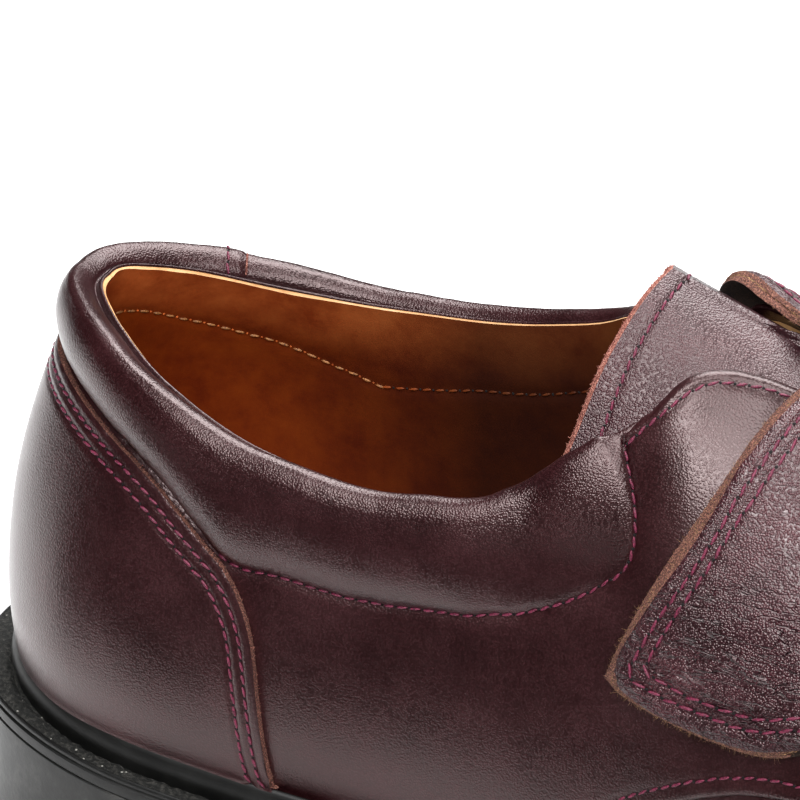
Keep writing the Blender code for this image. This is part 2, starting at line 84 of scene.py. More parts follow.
@dataclass(frozen=True)
class LastedForm:
    """The surface that every leather piece lies on."""

    length: float = 288.0
    centre: tuple[float, float, float] = (144.0, -0.8, 0.0)
    closed_from: float = 125.0
    closed_run: float = 20.0
    ease: float = 7.0
    ease_at: float = 127.0
    ease_run: float = 11.0
    heel_tuck: float = 2.8
    tuck_run: float = 28.0
    # along, lateral half width, medial half width, height
    feather: Rows = (
        (0.0, 0.0, 0.0, 33.5), (12.0, 25.5, 25.5, 31.9), (34.0, 34.2, 34.0, 28.6),
        (60.0, 34.4, 33.0, 24.9), (90.0, 33.6, 28.5, 21.5), (120.0, 35.6, 27.0, 19.0),
        (150.0, 41.0, 31.0, 17.4), (180.0, 46.3, 39.5, 16.6), (205.0, 47.6, 45.8, 16.6),
        (230.0, 44.6, 46.2, 17.8), (255.0, 36.0, 42.0, 20.6), (272.0, 24.5, 34.0, 23.4),
        (282.0, 12.5, 24.5, 25.2), (288.0, -6.0, 6.0, 26.0),
    )
    # along, top x, middle, half spread, lateral height, medial rise over it
    top: Rows = (
        (0.0, 16.0, 0.0, 0.0, 99.2, 0.0), (6.0, 18.6, 0.0, 7.6, 98.7, -0.2),
        (16.0, 26.0, 0.0, 15.6, 97.0, -1.4), (34.0, 40.0, -0.2, 24.8, 92.4, -1.8),
        (60.0, 62.0, -0.8, 29.6, 85.6, 3.0), (90.0, 90.0, -1.0, 29.6, 83.2, 8.0),
        (104.0, 104.0, -1.2, 27.2, 86.0, 10.0), (112.0, 110.5, -1.0, 22.6, 92.5, 9.0),
        (120.0, 116.2, 0.6, 13.4, 109.6, 2.0), (124.0, 119.2, 1.4, 6.8, 116.4, 0.6),
        (128.0, 121.5, 2.0, 0.0, 119.6, 0.0), (150.0, 143.0, 2.2, 0.0, 112.2, 0.0),
        (180.0, 170.0, 3.0, 0.0, 95.5, 0.0), (205.0, 194.0, 4.0, 0.0, 77.5, 0.0),
        (230.0, 217.0, 5.0, 0.0, 65.5, 0.0), (255.0, 238.0, 6.0, 0.0, 58.5, 0.0),
        (276.0, 253.0, 6.4, 0.0, 54.5, 0.0), (288.0, 260.0, 6.5, 0.0, 52.5, 0.0),
    )
    # along, lateral swell, medial swell, turn, squareness
    rib: Rows = (
        (0.0, 1.2, 1.2, 0.62, 1.0), (12.0, 1.8, 1.8, 0.60, 1.0), (34.0, 2.8, 2.8, 0.58, 1.0),
        (60.0, 3.6, 2.6, 0.52, 1.0), (90.0, 3.8, 2.6, 0.52, 1.0), (120.0, 4.0, 2.8, 0.85, 1.0),
        (140.0, 3.6, 2.6, 1.0, 1.0), (180.0, 3.0, 2.4, 1.0, 0.97), (230.0, 2.2, 2.2, 1.0, 0.88),
        (288.0, 1.6, 1.6, 1.0, 0.84),
    )

    def turn_of(self, along: Array | float) -> Array:
        """Angle from 0 at the heel's back to pi at the toe."""
        return np.arccos(np.clip(1.0 - 2.0 * np.asarray(along, float) / self.length, -1.0, 1.0))

    def along_of(self, turn: Array | float) -> Array:
        """Distance along the shoe for an angle of turn_of."""
        return self.length * (1.0 - np.cos(turn)) / 2.0

    def column(self, table: Rows, index: int, along: Array) -> Array:
        """A table's column at places along the shoe, curved in the angle that closes both ends.

        Args:
            table: rows whose first value is the place along the shoe.
            index: the column wanted.
            along: the places, in millimetres.

        Returns:
            The column's values there.
        """
        rows = np.array(table, float)
        return smooth_curve(self.turn_of(rows[:, 0]), rows[:, index], self.turn_of(along))

    def feather_line(self, along: Array, side: Side) -> tuple[Array, Array, Array]:
        """The feather line's place across the shoe and its outward direction in plan.

        Args:
            along: places along the shoe.
            side: which half.

        Returns:
            The place across, then the direction along and across.
        """
        width = 1 if side is Side.LATERAL else 2
        angle = self.turn_of(along)
        ahead = self.along_of(np.clip(angle + 1e-3, 0.0, math.pi))
        behind = self.along_of(np.clip(angle - 1e-3, 0.0, math.pi))
        run = ahead - behind
        spread = self.column(self.feather, width, ahead) - self.column(self.feather, width, behind)
        size = np.hypot(run, spread)
        sign = side.value
        return sign * self.column(self.feather, width, along), -spread / size, sign * run / size

    def foot_height(self, x: Array) -> Array:
        """Height of the feather line at a place along the shoe."""
        return self.column(self.feather, 3, np.clip(x, 0.0, self.length))

    def point(self, along: Array, rise: Array, side: Side) -> Array:
        """Points of the form on one side, eased over the sharp turn where the throat closes.

        Args:
            along: places along the shoe.
            rise: shares of the rib's length, of the same shape.
            side: which half.

        Returns:
            Points with a last axis of x, y, z.
        """
        along, rise = np.broadcast_arrays(np.asarray(along, float), np.asarray(rise, float))
        reach = self.ease * np.exp(-(((along - self.ease_at) / self.ease_run) ** 2))
        steps = np.linspace(-1.0, 1.0, 9)
        weights = 1.2 - steps**2
        total = sum(
            w * self.sharp_point(along + reach * k, rise, side) for k, w in zip(steps, weights))
        return total / weights.sum()

    def tuck(self, along: Array) -> Array:
        """How far the foot of the heel is drawn forward of its outline."""
        return self.heel_tuck * smooth_step(1.0 - np.asarray(along, float) / self.tuck_run)

    def sharp_point(self, along: Array, rise: Array, side: Side) -> Array:
        """Points of the form on one side, before they are eased.

        Args:
            along: places along the shoe.
            rise: shares of the rib's length, of the same shape.
            side: which half.

        Returns:
            Points with a last axis of x, y, z.
        """
        along, rise = np.broadcast_arrays(np.asarray(along, float), np.asarray(rise, float))
        y, out_x, out_y = self.feather_line(along, side)
        foot = self.column(self.feather, 3, along)
        top_x = self.column(self.top, 1, along)
        spread = np.maximum(self.column(self.top, 3, along), 0.0)
        top_y = self.column(self.top, 2, along) + side.value * spread
        top_z = self.column(self.top, 4, along)
        if side is Side.MEDIAL:
            least = np.where(along < self.closed_from, -self.top[0][4], 0.0)
            top_z = top_z + np.maximum(self.column(self.top, 5, along), least)
        swell = self.column(self.rib, 1 if side is Side.LATERAL else 2, along)
        sweep = 0.5 * math.pi * self.column(self.rib, 3, along)
        square = self.column(self.rib, 4, along)
        left = np.clip(np.cos(sweep * rise), 0.0, 1.0) ** square
        least_left = np.clip(np.cos(sweep), 0.0, 1.0) ** square
        climb = np.sin(sweep * rise) / np.sin(sweep)
        up = np.sign(climb) * np.abs(climb) ** square
        over = (1.0 - left) / (1.0 - least_left)
        inner = np.clip(rise, 0.0, 1.0)
        belly = np.sin(math.pi * inner**0.75) * (1.0 - 0.25 * rise)
        px = along + (top_x - along) * over + out_x * swell * belly
        px = px + self.tuck(along) * np.clip(1.0 - over, 0.0, 1.0)
        py = y + (top_y - y) * over + out_y * swell * belly
        pz = foot + (top_z - foot) * up
        ahead = np.clip(along + 0.5, 0.0, self.length)
        behind = np.clip(along - 0.5, 0.0, self.length)
        fall = self.column(self.top, 4, ahead) - self.column(self.top, 4, behind)
        slope = fall / (self.column(self.top, 1, ahead) - self.column(self.top, 1, behind))
        closed = smooth_step((along - self.closed_from) / self.closed_run)
        pz = pz + closed * np.clip(slope, -1.2, 0.2) * (px - top_x) * np.abs(up) ** 3
        return np.stack([px, py, pz], axis=-1)

    def round_heel(self, turn: Array, rise: Array) -> Array:
        """Points by signed turn, so that a grid can run round the heel or the toe.

        Args:
            turn: angles of turn_of, negative on the lateral side.
            rise: shares of the rib's length.

        Returns:
            Points with a last axis of x, y, z.
        """
        turn, rise = np.broadcast_arrays(turn, rise)
        along = self.along_of(np.abs(turn))
        lateral = self.point(along, rise, Side.LATERAL)
        medial = self.point(along, rise, Side.MEDIAL)
        return np.where((turn < 0.0)[..., None], lateral, medial)

    def over_ridge(self, along: Array, past: Array) -> Array:
        """Points by signed distance from the ridge, so that a grid can run across it.

        Args:
            along: places along the shoe.
            past: shares of a rib from the ridge, negative on the lateral side.

        Returns:
            Points with a last axis of x, y, z.
        """
        along, past = np.broadcast_arrays(along, past)
        rise = 1.0 - np.abs(past)
        lateral = self.point(along, rise, Side.LATERAL)
        medial = self.point(along, rise, Side.MEDIAL)
        return np.where((past < 0.0)[..., None], lateral, medial)

    def round_toe(self, start: float, count: int) -> Array:
        """Angles from a place on the lateral side, round the toe, to the same on the medial side.

        Args:
            start: the place along the shoe where they start and end.
            count: how many.

        Returns:
            Angles of turn_of, negative on the lateral side.
        """
        first = float(self.turn_of(start))
        sweep = np.linspace(first, 2.0 * math.pi - first, count)
        return np.where(sweep < math.pi, -sweep, 2.0 * math.pi - sweep)

    def rib_grid(self, turn: Array, foot: float, top: Array, share: Array) -> tuple:
        """A grid that runs round the heel or the toe, between its foot and its top.

        Args:
            turn: signed angles of turn_of.
            foot: the rise of its foot.
            top: the rise of its top at every angle.
            share: shares of the way up.

        Returns:
            Each point's place along, its rise, the points and their outward normals.
        """
        rise = foot + (top[:, None] - foot) * share[None, :]
        grid = self.round_heel(turn[:, None] + 0.0 * rise, rise)
        along = self.along_of(np.abs(turn))[:, None] + 0.0 * rise
        return along, rise, grid, outward(grid)[0]


FORM = LastedForm()


def smooth_step(value: Array) -> Array:
    """Smooth ramp from 0 to 1."""
    held = np.clip(value, 0.0, 1.0)
    return held * held * (3.0 - 2.0 * held)


def smooth_curve(keys: Array, values: Array, at: Array) -> Array:
    """Smooth curve through points, each slope taken from its neighbours.

    Args:
        keys: rising places of the known values.
        values: the known values.
        at: where the curve is wanted.

    Returns:
        The curve's values.
    """
    step = np.diff(keys)
    slope = np.diff(values) / step
    bend = np.empty_like(values)
    bend[1:-1] = (slope[1:] * step[:-1] + slope[:-1] * step[1:]) / (step[1:] + step[:-1])
    bend[0] = 1.5 * slope[0] - 0.5 * bend[1]
    bend[-1] = 1.5 * slope[-1] - 0.5 * bend[-2]
    row = np.clip(np.searchsorted(keys, at, side="right") - 1, 0, len(keys) - 2)
    t = (at - keys[row]) / step[row]
    rise = t * t * (3.0 - 2.0 * t)
    leave = t * (1.0 - t) ** 2 * step[row] * bend[row]
    arrive = t * t * (t - 1.0) * step[row] * bend[row + 1]
    return values[row] * (1.0 - rise) + values[row + 1] * rise + leave + arrive


def straight(table: Rows, index: int, along: Array) -> Array:
    """A table's column with straight runs between its rows."""
    rows = np.array(table, float)
    return np.interp(along, rows[:, 0], rows[:, index])


def soft_rows(table: Rows, index: int, along: Array, blur: Array | float = 1.5) -> Array:
    """A table's column with straight runs whose corners are eased.

    Args:
        table: rows whose first value is the place along the shoe.
        index: the column wanted.
        along: the places, in millimetres.
        blur: how far a corner's easing reaches, in millimetres.

    Returns:
        The column's values there.
    """
    offsets = np.linspace(-1.0, 1.0, 7)
    weights = 1.0 - (offsets / 1.3) ** 2
    total = sum(w * straight(table, index, along + blur * o) for o, w in zip(offsets, weights))
    return total / weights.sum()


def both_sides(half: Array) -> Array:
    """Signed angles round the heel's back from the angles of one side."""
    return np.concatenate([-half[:0:-1], half])


def to_topline(rise: Array, along: Array) -> Array:
    """A rise eased up to the topline behind the throat."""
    return rise + (1.0 - rise) * smooth_step((110.0 - along) / 8.0)


def placed(points: Array) -> Array:
    """From the last's frame in millimetres to the part's own frame in metres."""
    return (points - np.array(FORM.centre)) * MM


def points_of(piece: Object) -> Array:
    """A piece's points, from the part's own frame to the last's frame in millimetres."""
    return np.array([vert.co for vert in piece.data.vertices]) / MM + np.array(FORM.centre)


def unit(vectors: Array) -> Array:
    """Vectors of length one."""
    return vectors / np.maximum(np.linalg.norm(vectors, axis=-1, keepdims=True), 1e-9)


def outward(grid: Array) -> tuple[Array, bool]:
    """Outward normals of a grid of points.

    Args:
        grid: points by row and column.

    Returns:
        The normals, and whether the grid's own turning sense points inwards.
    """
    normals = unit(np.cross(np.gradient(grid, axis=0), np.gradient(grid, axis=1)))
    heart = grid.copy()
    heart[..., 1] = 0.0
    heart[..., 2] = 45.0
    inside = float(np.sum(normals * (grid - heart))) < 0.0
    return (-normals if inside else normals), inside


def respaced(line: Array, step: float) -> Array:
    """A polyline with even spacing.

    Args:
        line: its points.
        step: the spacing wanted.

    Returns:
        The new points.
    """
    run = np.concatenate([[0.0], np.cumsum(np.linalg.norm(np.diff(line, axis=0), axis=1))])
    count = max(int(run[-1] / step), 2)
    at = np.linspace(0.0, run[-1], count + 1)
    return np.stack([np.interp(at, run, line[:, k]) for k in range(3)], axis=1)


def distance_to(points: Array, line: Array) -> Array:
    """Distance of every point to a polyline, in millimetres.

    Args:
        points: an array whose last axis is x, y, z.
        line: the polyline's points.

    Returns:
        The distances, in the array's own shape.
    """
    marks = respaced(line, 0.4)
    flat = points.reshape(-1, 3)
    best = np.full(len(flat), np.inf)
    many = 48
    for start in range(0, len(marks), many):
        block = marks[start:start + many]
        gap = ((flat[:, None, :] - block[None, :, :]) ** 2).sum(axis=2).min(axis=1)
        best = np.minimum(best, gap)
    return np.sqrt(best).reshape(points.shape[:-1])


def groove(distance: Array, depth: float, width: float) -> Array:
    """A soft trough, negative in height, along a line at the given distances."""
    return -depth * np.exp(-((distance / width) ** 2))


def ripple(points: Array, wave: float, seed: int) -> Array:
    """Smooth uneven field between about -1 and 1, from a few crossing waves.

    Args:
        points: places, in millimetres.
        wave: typical wavelength, in millimetres.
        seed: chooses the waves.

    Returns:
        One value a point.
    """
    rng = np.random.default_rng(seed)
    total = np.zeros(points.shape[:-1])
    for _ in range(7):
        way = unit(rng.normal(size=3))
        size = wave * rng.uniform(0.7, 1.6)
        total += np.sin(points @ way * (2.0 * math.pi / size) + rng.uniform(0.0, 6.28))
    return total / 3.5


# --- meshes ---


def link(name: str, data: bpy.types.ID) -> Object:
    """Make an object of a mesh, a light or a camera and put it in the scene.

    Args:
        name: the object's name.
        data: what it holds.

    Returns:
        The object.
    """
    made = bpy.data.objects.new(name, data)
    bpy.context.scene.collection.objects.link(made)
    return made


def link_mesh(name: str, verts: Array, quads: Array, slots: Array | None = None) -> Object:
    """Make an object of quads.

    Args:
        name: the object's name.
        verts: points in millimetres in the last's frame.
        quads: four indices a face.
        slots: material slot of each face, or None for the first.

    Returns:
        The linked object.
    """
    mesh = bpy.data.meshes.new(name)
    mesh.vertices.add(len(verts))
    mesh.vertices.foreach_set("co", placed(verts).astype(np.float32).ravel())
    mesh.loops.add(quads.size)
    mesh.loops.foreach_set("vertex_index", quads.astype(np.int32).ravel())
    mesh.polygons.add(len(quads))
    mesh.polygons.foreach_set("loop_start", np.arange(0, quads.size, 4, dtype=np.int32))
    if slots is not None:
        mesh.polygons.foreach_set("material_index", slots.astype(np.int32))
    mesh.update(calc_edges=True)
    mesh.validate()
    return link(name, mesh)


@contextmanager
def edited(piece: Object) -> Iterator[bmesh.types.BMesh]:
    """Open a piece's mesh for editing and write it back.

    Args:
        piece: the piece.

    Yields:
        Its mesh, opened.
    """
    maker = bmesh.new()
    maker.from_mesh(piece.data)
    yield maker
    maker.to_mesh(piece.data)
    maker.free()


def shade(piece: Object, angle: float = FOLD_ANGLE) -> None:
    """Shade a piece smooth, with sharp edges past an angle in degrees."""
    piece.data.shade_smooth()
    piece.data.set_sharp_from_angle(angle=math.radians(angle))


def grid_quads(rows: int, columns: int, first: int, flip: bool) -> Array:
    """Quads of a grid whose points are numbered row by row.

    Args:
        rows: its rows of points.
        columns: its columns.
        first: the first point's number.
        flip: true to turn the faces over.

    Returns:
        Four indices a face.
    """
    i, j = np.meshgrid(np.arange(rows - 1), np.arange(columns - 1), indexing="ij")
    corner = (first + i * columns + j).ravel()
    quads = np.stack([corner, corner + columns, corner + columns + 1, corner + 1], axis=1)
    return quads[:, ::-1] if flip else quads


def border(rows: int, columns: int) -> tuple[Array, Array]:
    """The way round a grid's edge.

    Args:
        rows: its rows of points.
        columns: its columns.

    Returns:
        Row and column of each point of the edge, and of the point one step inside each.
    """
    loop = [(i, 0) for i in range(rows - 1)]
    loop += [(rows - 1, j) for j in range(columns - 1)]
    loop += [(i, columns - 1) for i in range(rows - 1, 0, -1)]
    loop += [(0, j) for j in range(columns - 1, 0, -1)]
    ring = np.array(loop)
    near = np.stack([
        np.clip(ring[:, 0], 1, rows - 2),
        np.clip(ring[:, 1], 1, columns - 2),
    ], axis=1)
    return ring, near


@dataclass
class Hide:
    """One cut piece of leather: a face, a back and the rim between them."""

    name: str
    face: Array
    back: Array
    rim: Rim = Rim.RAW
    rim_rows: int = 4
    roughness: float = 0.10
    layers: int = 1
    seed: int = 5
    bare: Array | None = None

    def build(self, materials: list[Material]) -> Object:
        """Make the closed piece.

        Args:
            materials: the grain side's material, then the rim's, then the back's.

        Returns:
            The object.
        """
        rows, columns = self.face.shape[:2]
        _, flip = outward(self.face)
        ring, near = border(rows, columns)
        face_ring = self.face[ring[:, 0], ring[:, 1]]
        back_ring = self.back[ring[:, 0], ring[:, 1]]
        away = unit(face_ring - self.face[near[:, 0], near[:, 1]])
        rng = np.random.default_rng(self.seed)
        strips = []
        for k in range(1, self.rim_rows + 1):
            share = k / (self.rim_rows + 1)
            swell = math.sin(math.pi * share) * (0.35 if self.rim is Rim.FOLDED else 0.08)
            if self.layers > 1 and abs(share - 0.5) < 0.12:
                swell = -0.3
            rough = rng.normal(0.0, self.roughness, len(ring)) if self.rim is Rim.RAW else 0.0
            push = (swell + rough) * np.ones(len(ring))
            strips.append(face_ring + (back_ring - face_ring) * share + away * push[:, None])
        count = rows * columns
        edge = len(ring)
        verts = np.concatenate([self.face.reshape(-1, 3), self.back.reshape(-1, 3), *strips])
        face_loop = ring[:, 0] * columns + ring[:, 1]
        loops = [face_loop]
        loops += [2 * count + k * edge + np.arange(edge) for k in range(self.rim_rows)]
        loops += [count + face_loop]
        quads = [grid_quads(rows, columns, 0, flip), grid_quads(rows, columns, count, not flip)]
        back_slot = len(materials) - 1 if len(materials) > 2 else 0
        slots = [np.zeros(len(quads[0])), np.full(len(quads[1]), back_slot)]
        for upper, lower in zip(loops, loops[1:]):
            strip = np.stack([upper, lower, np.roll(lower, -1), np.roll(upper, -1)], axis=1)
            if self.bare is not None:
                hidden = self.bare[ring[:, 0], ring[:, 1]]
                strip = strip[~(hidden & np.roll(hidden, -1))]
            quads.append(strip[:, ::-1] if flip else strip)
            between = self.layers > 1 and len(quads) - 2 == (self.rim_rows + 2) // 2
            slots.append(np.full(len(strip), min(2 if between else 1, len(materials) - 1)))
        made = link_mesh(self.name, verts, np.concatenate(quads), np.concatenate(slots))
        for material in materials:
            made.data.materials.append(material)
        made.data.shade_smooth()
        if self.rim is Rim.RAW:
            shade(made)
        return made


def weld(maker: bmesh.types.BMesh) -> None:
    """Join points that lie on each other, such as those of two halves on the ridge."""
    bmesh.ops.remove_doubles(maker, verts=maker.verts, dist=0.02 * MM)


def open_skin(name: str, halves: list[Array], inwards: bool = False) -> Object:
    """An open skin of one or more grids, joined where they meet.

    Args:
        name: the object's name.
        halves: grids of points.
        inwards: true if the side that shows faces the foot.

    Returns:
        The object.
    """
    verts, quads, first = [], [], 0
    for grid in halves:
        _, flip = outward(grid)
        verts.append(grid.reshape(-1, 3))
        quads.append(grid_quads(grid.shape[0], grid.shape[1], first, flip != inwards))
        first += grid.shape[0] * grid.shape[1]
    made = link_mesh(name, np.concatenate(verts), np.concatenate(quads))
    with edited(made) as maker:
        weld(maker)
    made.data.shade_smooth()
    return made


def final_mesh(piece: Object) -> bpy.types.Mesh:
    """A piece's mesh with its modifiers applied."""
    graph = bpy.context.evaluated_depsgraph_get()
    return bpy.data.meshes.new_from_object(piece.evaluated_get(graph))


def thicken(piece: Object, thickness: float, rim_slot: int = 0,
            thin: tuple[Array, float] | None = None) -> None:
    """Give an open skin its thickness, behind the side that shows.

    Args:
        piece: the skin.
        thickness: its thickness, in millimetres.
        rim_slot: how far the rim's material slot is from the face's.
        thin: a path in millimetres that it is only thick along, and the share left elsewhere.
    """
    wall = piece.modifiers.new("Wall", "SOLIDIFY")
    wall.thickness = thickness * MM
    wall.offset = -1.0
    wall.use_quality_normals = True
    wall.material_offset_rim = rim_slot
    if thin:
        near = piece.vertex_groups.new(name="near_edge")
        for index, gap in enumerate(distance_to(points_of(piece), thin[0])):
            near.add([index], float(smooth_step(2.0 - gap / 3.0)), "REPLACE")
        wall.vertex_group = near.name
        wall.thickness_vertex_group = thin[1]
    mesh = final_mesh(piece)
    piece.modifiers.clear()
    piece.data = mesh
    piece.vertex_groups.clear()
    shade(piece)


def merged(name: str, pieces: list[Object]) -> Object:
    """Join pieces with the same materials and weld them where they meet.

    Args:
        name: the joined object's name.
        pieces: the pieces, which become one.

    Returns:
        The object.
    """
    first, *rest = pieces
    with edited(first) as maker:
        for piece in rest:
            maker.from_mesh(piece.data)
            bpy.data.objects.remove(piece, do_unlink=True)
        weld(maker)
    first.name = name
    shade(first)
    return first


def surface_of(piece: Object) -> BVHTree:
    """A piece's faces, for laying stitches on them."""
    places = [vert.co.copy() for vert in piece.data.vertices]
    return BVHTree.FromPolygons(places, [tuple(face.vertices) for face in piece.data.polygons])


# --- node trees and finishes ---


def feed(tree: NodeTree, made: bpy.types.Node, inputs: dict) -> None:
    """Set a node's inputs.

    Args:
        tree: the tree it is in.
        made: the node.
        inputs: socket name or number to a value or to the socket that feeds it.
    """
    for key, value in inputs.items():
        socket = made.inputs[key]
        if isinstance(value, bpy.types.NodeSocket):
            tree.links.new(value, socket)
        else:
            socket.default_value = value


def add_node(tree: NodeTree, kind: str, inputs: dict | None = None,
             stops: tuple[tuple[float, str], ...] = (), **settings) -> bpy.types.Node:
    """Add a node.

    Args:
        tree: the tree it goes in.
        kind: its type name.
        inputs: socket name or number to a value or to the socket that feeds it.
        stops: place and hex colour of each stop, where it has a colour ramp.
        settings: its own properties.

    Returns:
        The node.
    """
    made = tree.nodes.new(kind)
    for key, value in settings.items():
        setattr(made, key, value)
    for number, (place, colour) in enumerate(stops):
        band = made.color_ramp.elements
        element = band[number] if number < len(band) else band.new(1.0)
        element.position = place
        element.color = linear(colour)
    feed(tree, made, inputs or {})
    return made


def linear(colour: str) -> tuple[float, float, float, float]:
    """An sRGB hex colour as linear light.

    Args:
        colour: the colour, as a hash sign and six digits.

    Returns:
        Red, green, blue and alpha.
    """
    parts = [int(colour[k:k + 2], 16) / 255.0 for k in (1, 3, 5)]
    light = [c / 12.92 if c <= 0.04045 else ((c + 0.055) / 1.055) ** 2.4 for c in parts]
    return (*light, 1.0)


def new_material(name: str) -> tuple[Material, NodeTree, bpy.types.Node, bpy.types.NodeSocket]:
    """Start a material.

    Args:
        name: the material's name.

    Returns:
        The material, its tree, its shader and the socket of its object coordinates.
    """
    made = bpy.data.materials.new(name)
    made.use_nodes = True
    tree = made.node_tree
    shader = tree.nodes["Principled BSDF"]
    place = add_node(tree, "ShaderNodeTexCoord").outputs["Object"]
    return made, tree, shader, place


def cells_per_metre(size: float) -> float:
    """A pattern's scale from the real size of one of its cells in millimetres."""
    return 1.0 / (size * MM)


@dataclass(frozen=True)
class WaxedLeather:
    """Aniline-dyed, waxed calf leather.

    The dye sits unevenly in the grain, so the valleys are darker than the tops. The wax gives a
    soft gloss that breaks up on the grain.
    """

    name: str
    valley: str = "#150607"
    ground: str = "#230d0f"
    top: str = "#33181b"
    wax: str = "#ffdedd"
    pebble: float = 0.75
    pebble_depth: float = 0.10
    pore: float = 0.22
    pore_depth: float = 0.03
    patch: float = 14.0
    crease: float = 0.0
    crease_gap: float = 2.2
    rough: float = 0.40
    rough_spread: float = 0.08
    coat: float = 0.25
    coat_rough: float = 0.20

    def make(self) -> Material:
        """Build the material.

        Returns:
            The material.
        """
        made, tree, shader, place = new_material(self.name)
        wander = add_node(tree, "ShaderNodeTexNoise", {
            "Vector": place, "Scale": cells_per_metre(0.9), "Detail": 2.0})
        shift = add_node(tree, "ShaderNodeVectorMath", {
            0: wander.outputs["Color"], 1: (0.5, 0.5, 0.5)}, operation="SUBTRACT")
        shift = add_node(tree, "ShaderNodeVectorMath", {
            0: shift.outputs[0], "Scale": 0.0002}, operation="SCALE")
        warped = add_node(tree, "ShaderNodeVectorMath", {
            0: place, 1: shift.outputs[0]}, operation="ADD").outputs[0]
        pebbles = add_node(tree, "ShaderNodeTexVoronoi", {
            "Vector": warped, "Scale": cells_per_metre(self.pebble), "Randomness": 0.9},
            feature="F1")
        pebble = add_node(tree, "ShaderNodeMapRange", {
            "Value": pebbles.outputs["Distance"], "From Min": 0.05, "From Max": 0.8,
            "To Min": 1.0, "To Max": 0.0}, interpolation_type="SMOOTHSTEP").outputs["Result"]
        pores = add_node(tree, "ShaderNodeTexNoise", {
            "Vector": place, "Scale": cells_per_metre(self.pore), "Detail": 3.0,
            "Roughness": 0.6}).outputs["Fac"]
        patches = add_node(tree, "ShaderNodeTexNoise", {
            "Vector": place, "Scale": cells_per_metre(self.patch), "Detail": 4.0,
            "Roughness": 0.6}).outputs["Fac"]
        tone = add_node(tree, "ShaderNodeMath", {0: pebble, 1: 0.30}, operation="MULTIPLY")
        tone = add_node(tree, "ShaderNodeMath", {
            0: patches, 1: 0.70, 2: tone.outputs[0]}, operation="MULTIPLY_ADD")
        tone = add_node(tree, "ShaderNodeMath", {
            0: pores, 1: 0.25, 2: tone.outputs[0]}, operation="MULTIPLY_ADD").outputs[0]
        colour = add_node(tree, "ShaderNodeValToRGB", {"Fac": tone}, stops=(
            (0.30, self.valley), (0.55, self.ground), (0.85, self.top))).outputs["Color"]
        rough = add_node(tree, "ShaderNodeMapRange", {
            "Value": patches, "From Min": 0.3, "From Max": 0.7,
            "To Min": self.rough - self.rough_spread / 2.0,
            "To Max": self.rough + self.rough_spread / 2.0}).outputs["Result"]
        fine = add_node(tree, "ShaderNodeBump", {
            "Height": pores, "Distance": self.pore_depth * MM, "Strength": 1.0})
        coarse = add_node(tree, "ShaderNodeBump", {
            "Height": pebble, "Distance": self.pebble_depth * MM, "Strength": 1.0,
            "Normal": fine.outputs["Normal"]})
        normal = coarse.outputs["Normal"]
        if self.crease > 0.0:
            drawn = add_node(tree, "ShaderNodeVectorMath", {
                0: warped, 1: (0.22, 0.6, 1.0)}, operation="MULTIPLY").outputs[0]
            lines = add_node(tree, "ShaderNodeTexNoise", {
                "Vector": drawn, "Scale": cells_per_metre(self.crease_gap), "Detail": 2.0,
                "Roughness": 0.5, "Distortion": 0.5}).outputs["Fac"]
            line = add_node(tree, "ShaderNodeMath", {0: lines, 1: 0.5}, operation="SUBTRACT")
            line = add_node(tree, "ShaderNodeMath", {0: line.outputs[0]}, operation="ABSOLUTE")
            cut = add_node(tree, "ShaderNodeMapRange", {
                "Value": line.outputs[0], "From Min": 0.0, "From Max": 0.028},
                interpolation_type="SMOOTHSTEP").outputs["Result"]
            height = add_node(tree, "ShaderNodeSeparateXYZ", {0: place}).outputs["Z"]
            bent = add_node(tree, "ShaderNodeMapRange", {
                "Value": height, "From Min": 0.085, "From Max": 0.068,
                "To Min": 0.1, "To Max": 1.0}).outputs["Result"]
            depth = add_node(tree, "ShaderNodeMath", {0: cut, 1: bent}, operation="MULTIPLY")
            normal = add_node(tree, "ShaderNodeBump", {
                "Height": depth.outputs[0], "Distance": self.crease * MM, "Strength": 1.0,
                "Normal": normal}).outputs["Normal"]
        feed(tree, shader, {
            "Base Color": colour, "Roughness": rough, "IOR": 1.5, "Normal": normal,
            "Specular Tint": linear(self.wax), "Coat Weight": self.coat,
            "Coat Roughness": self.coat_rough, "Coat Normal": normal})
        return made


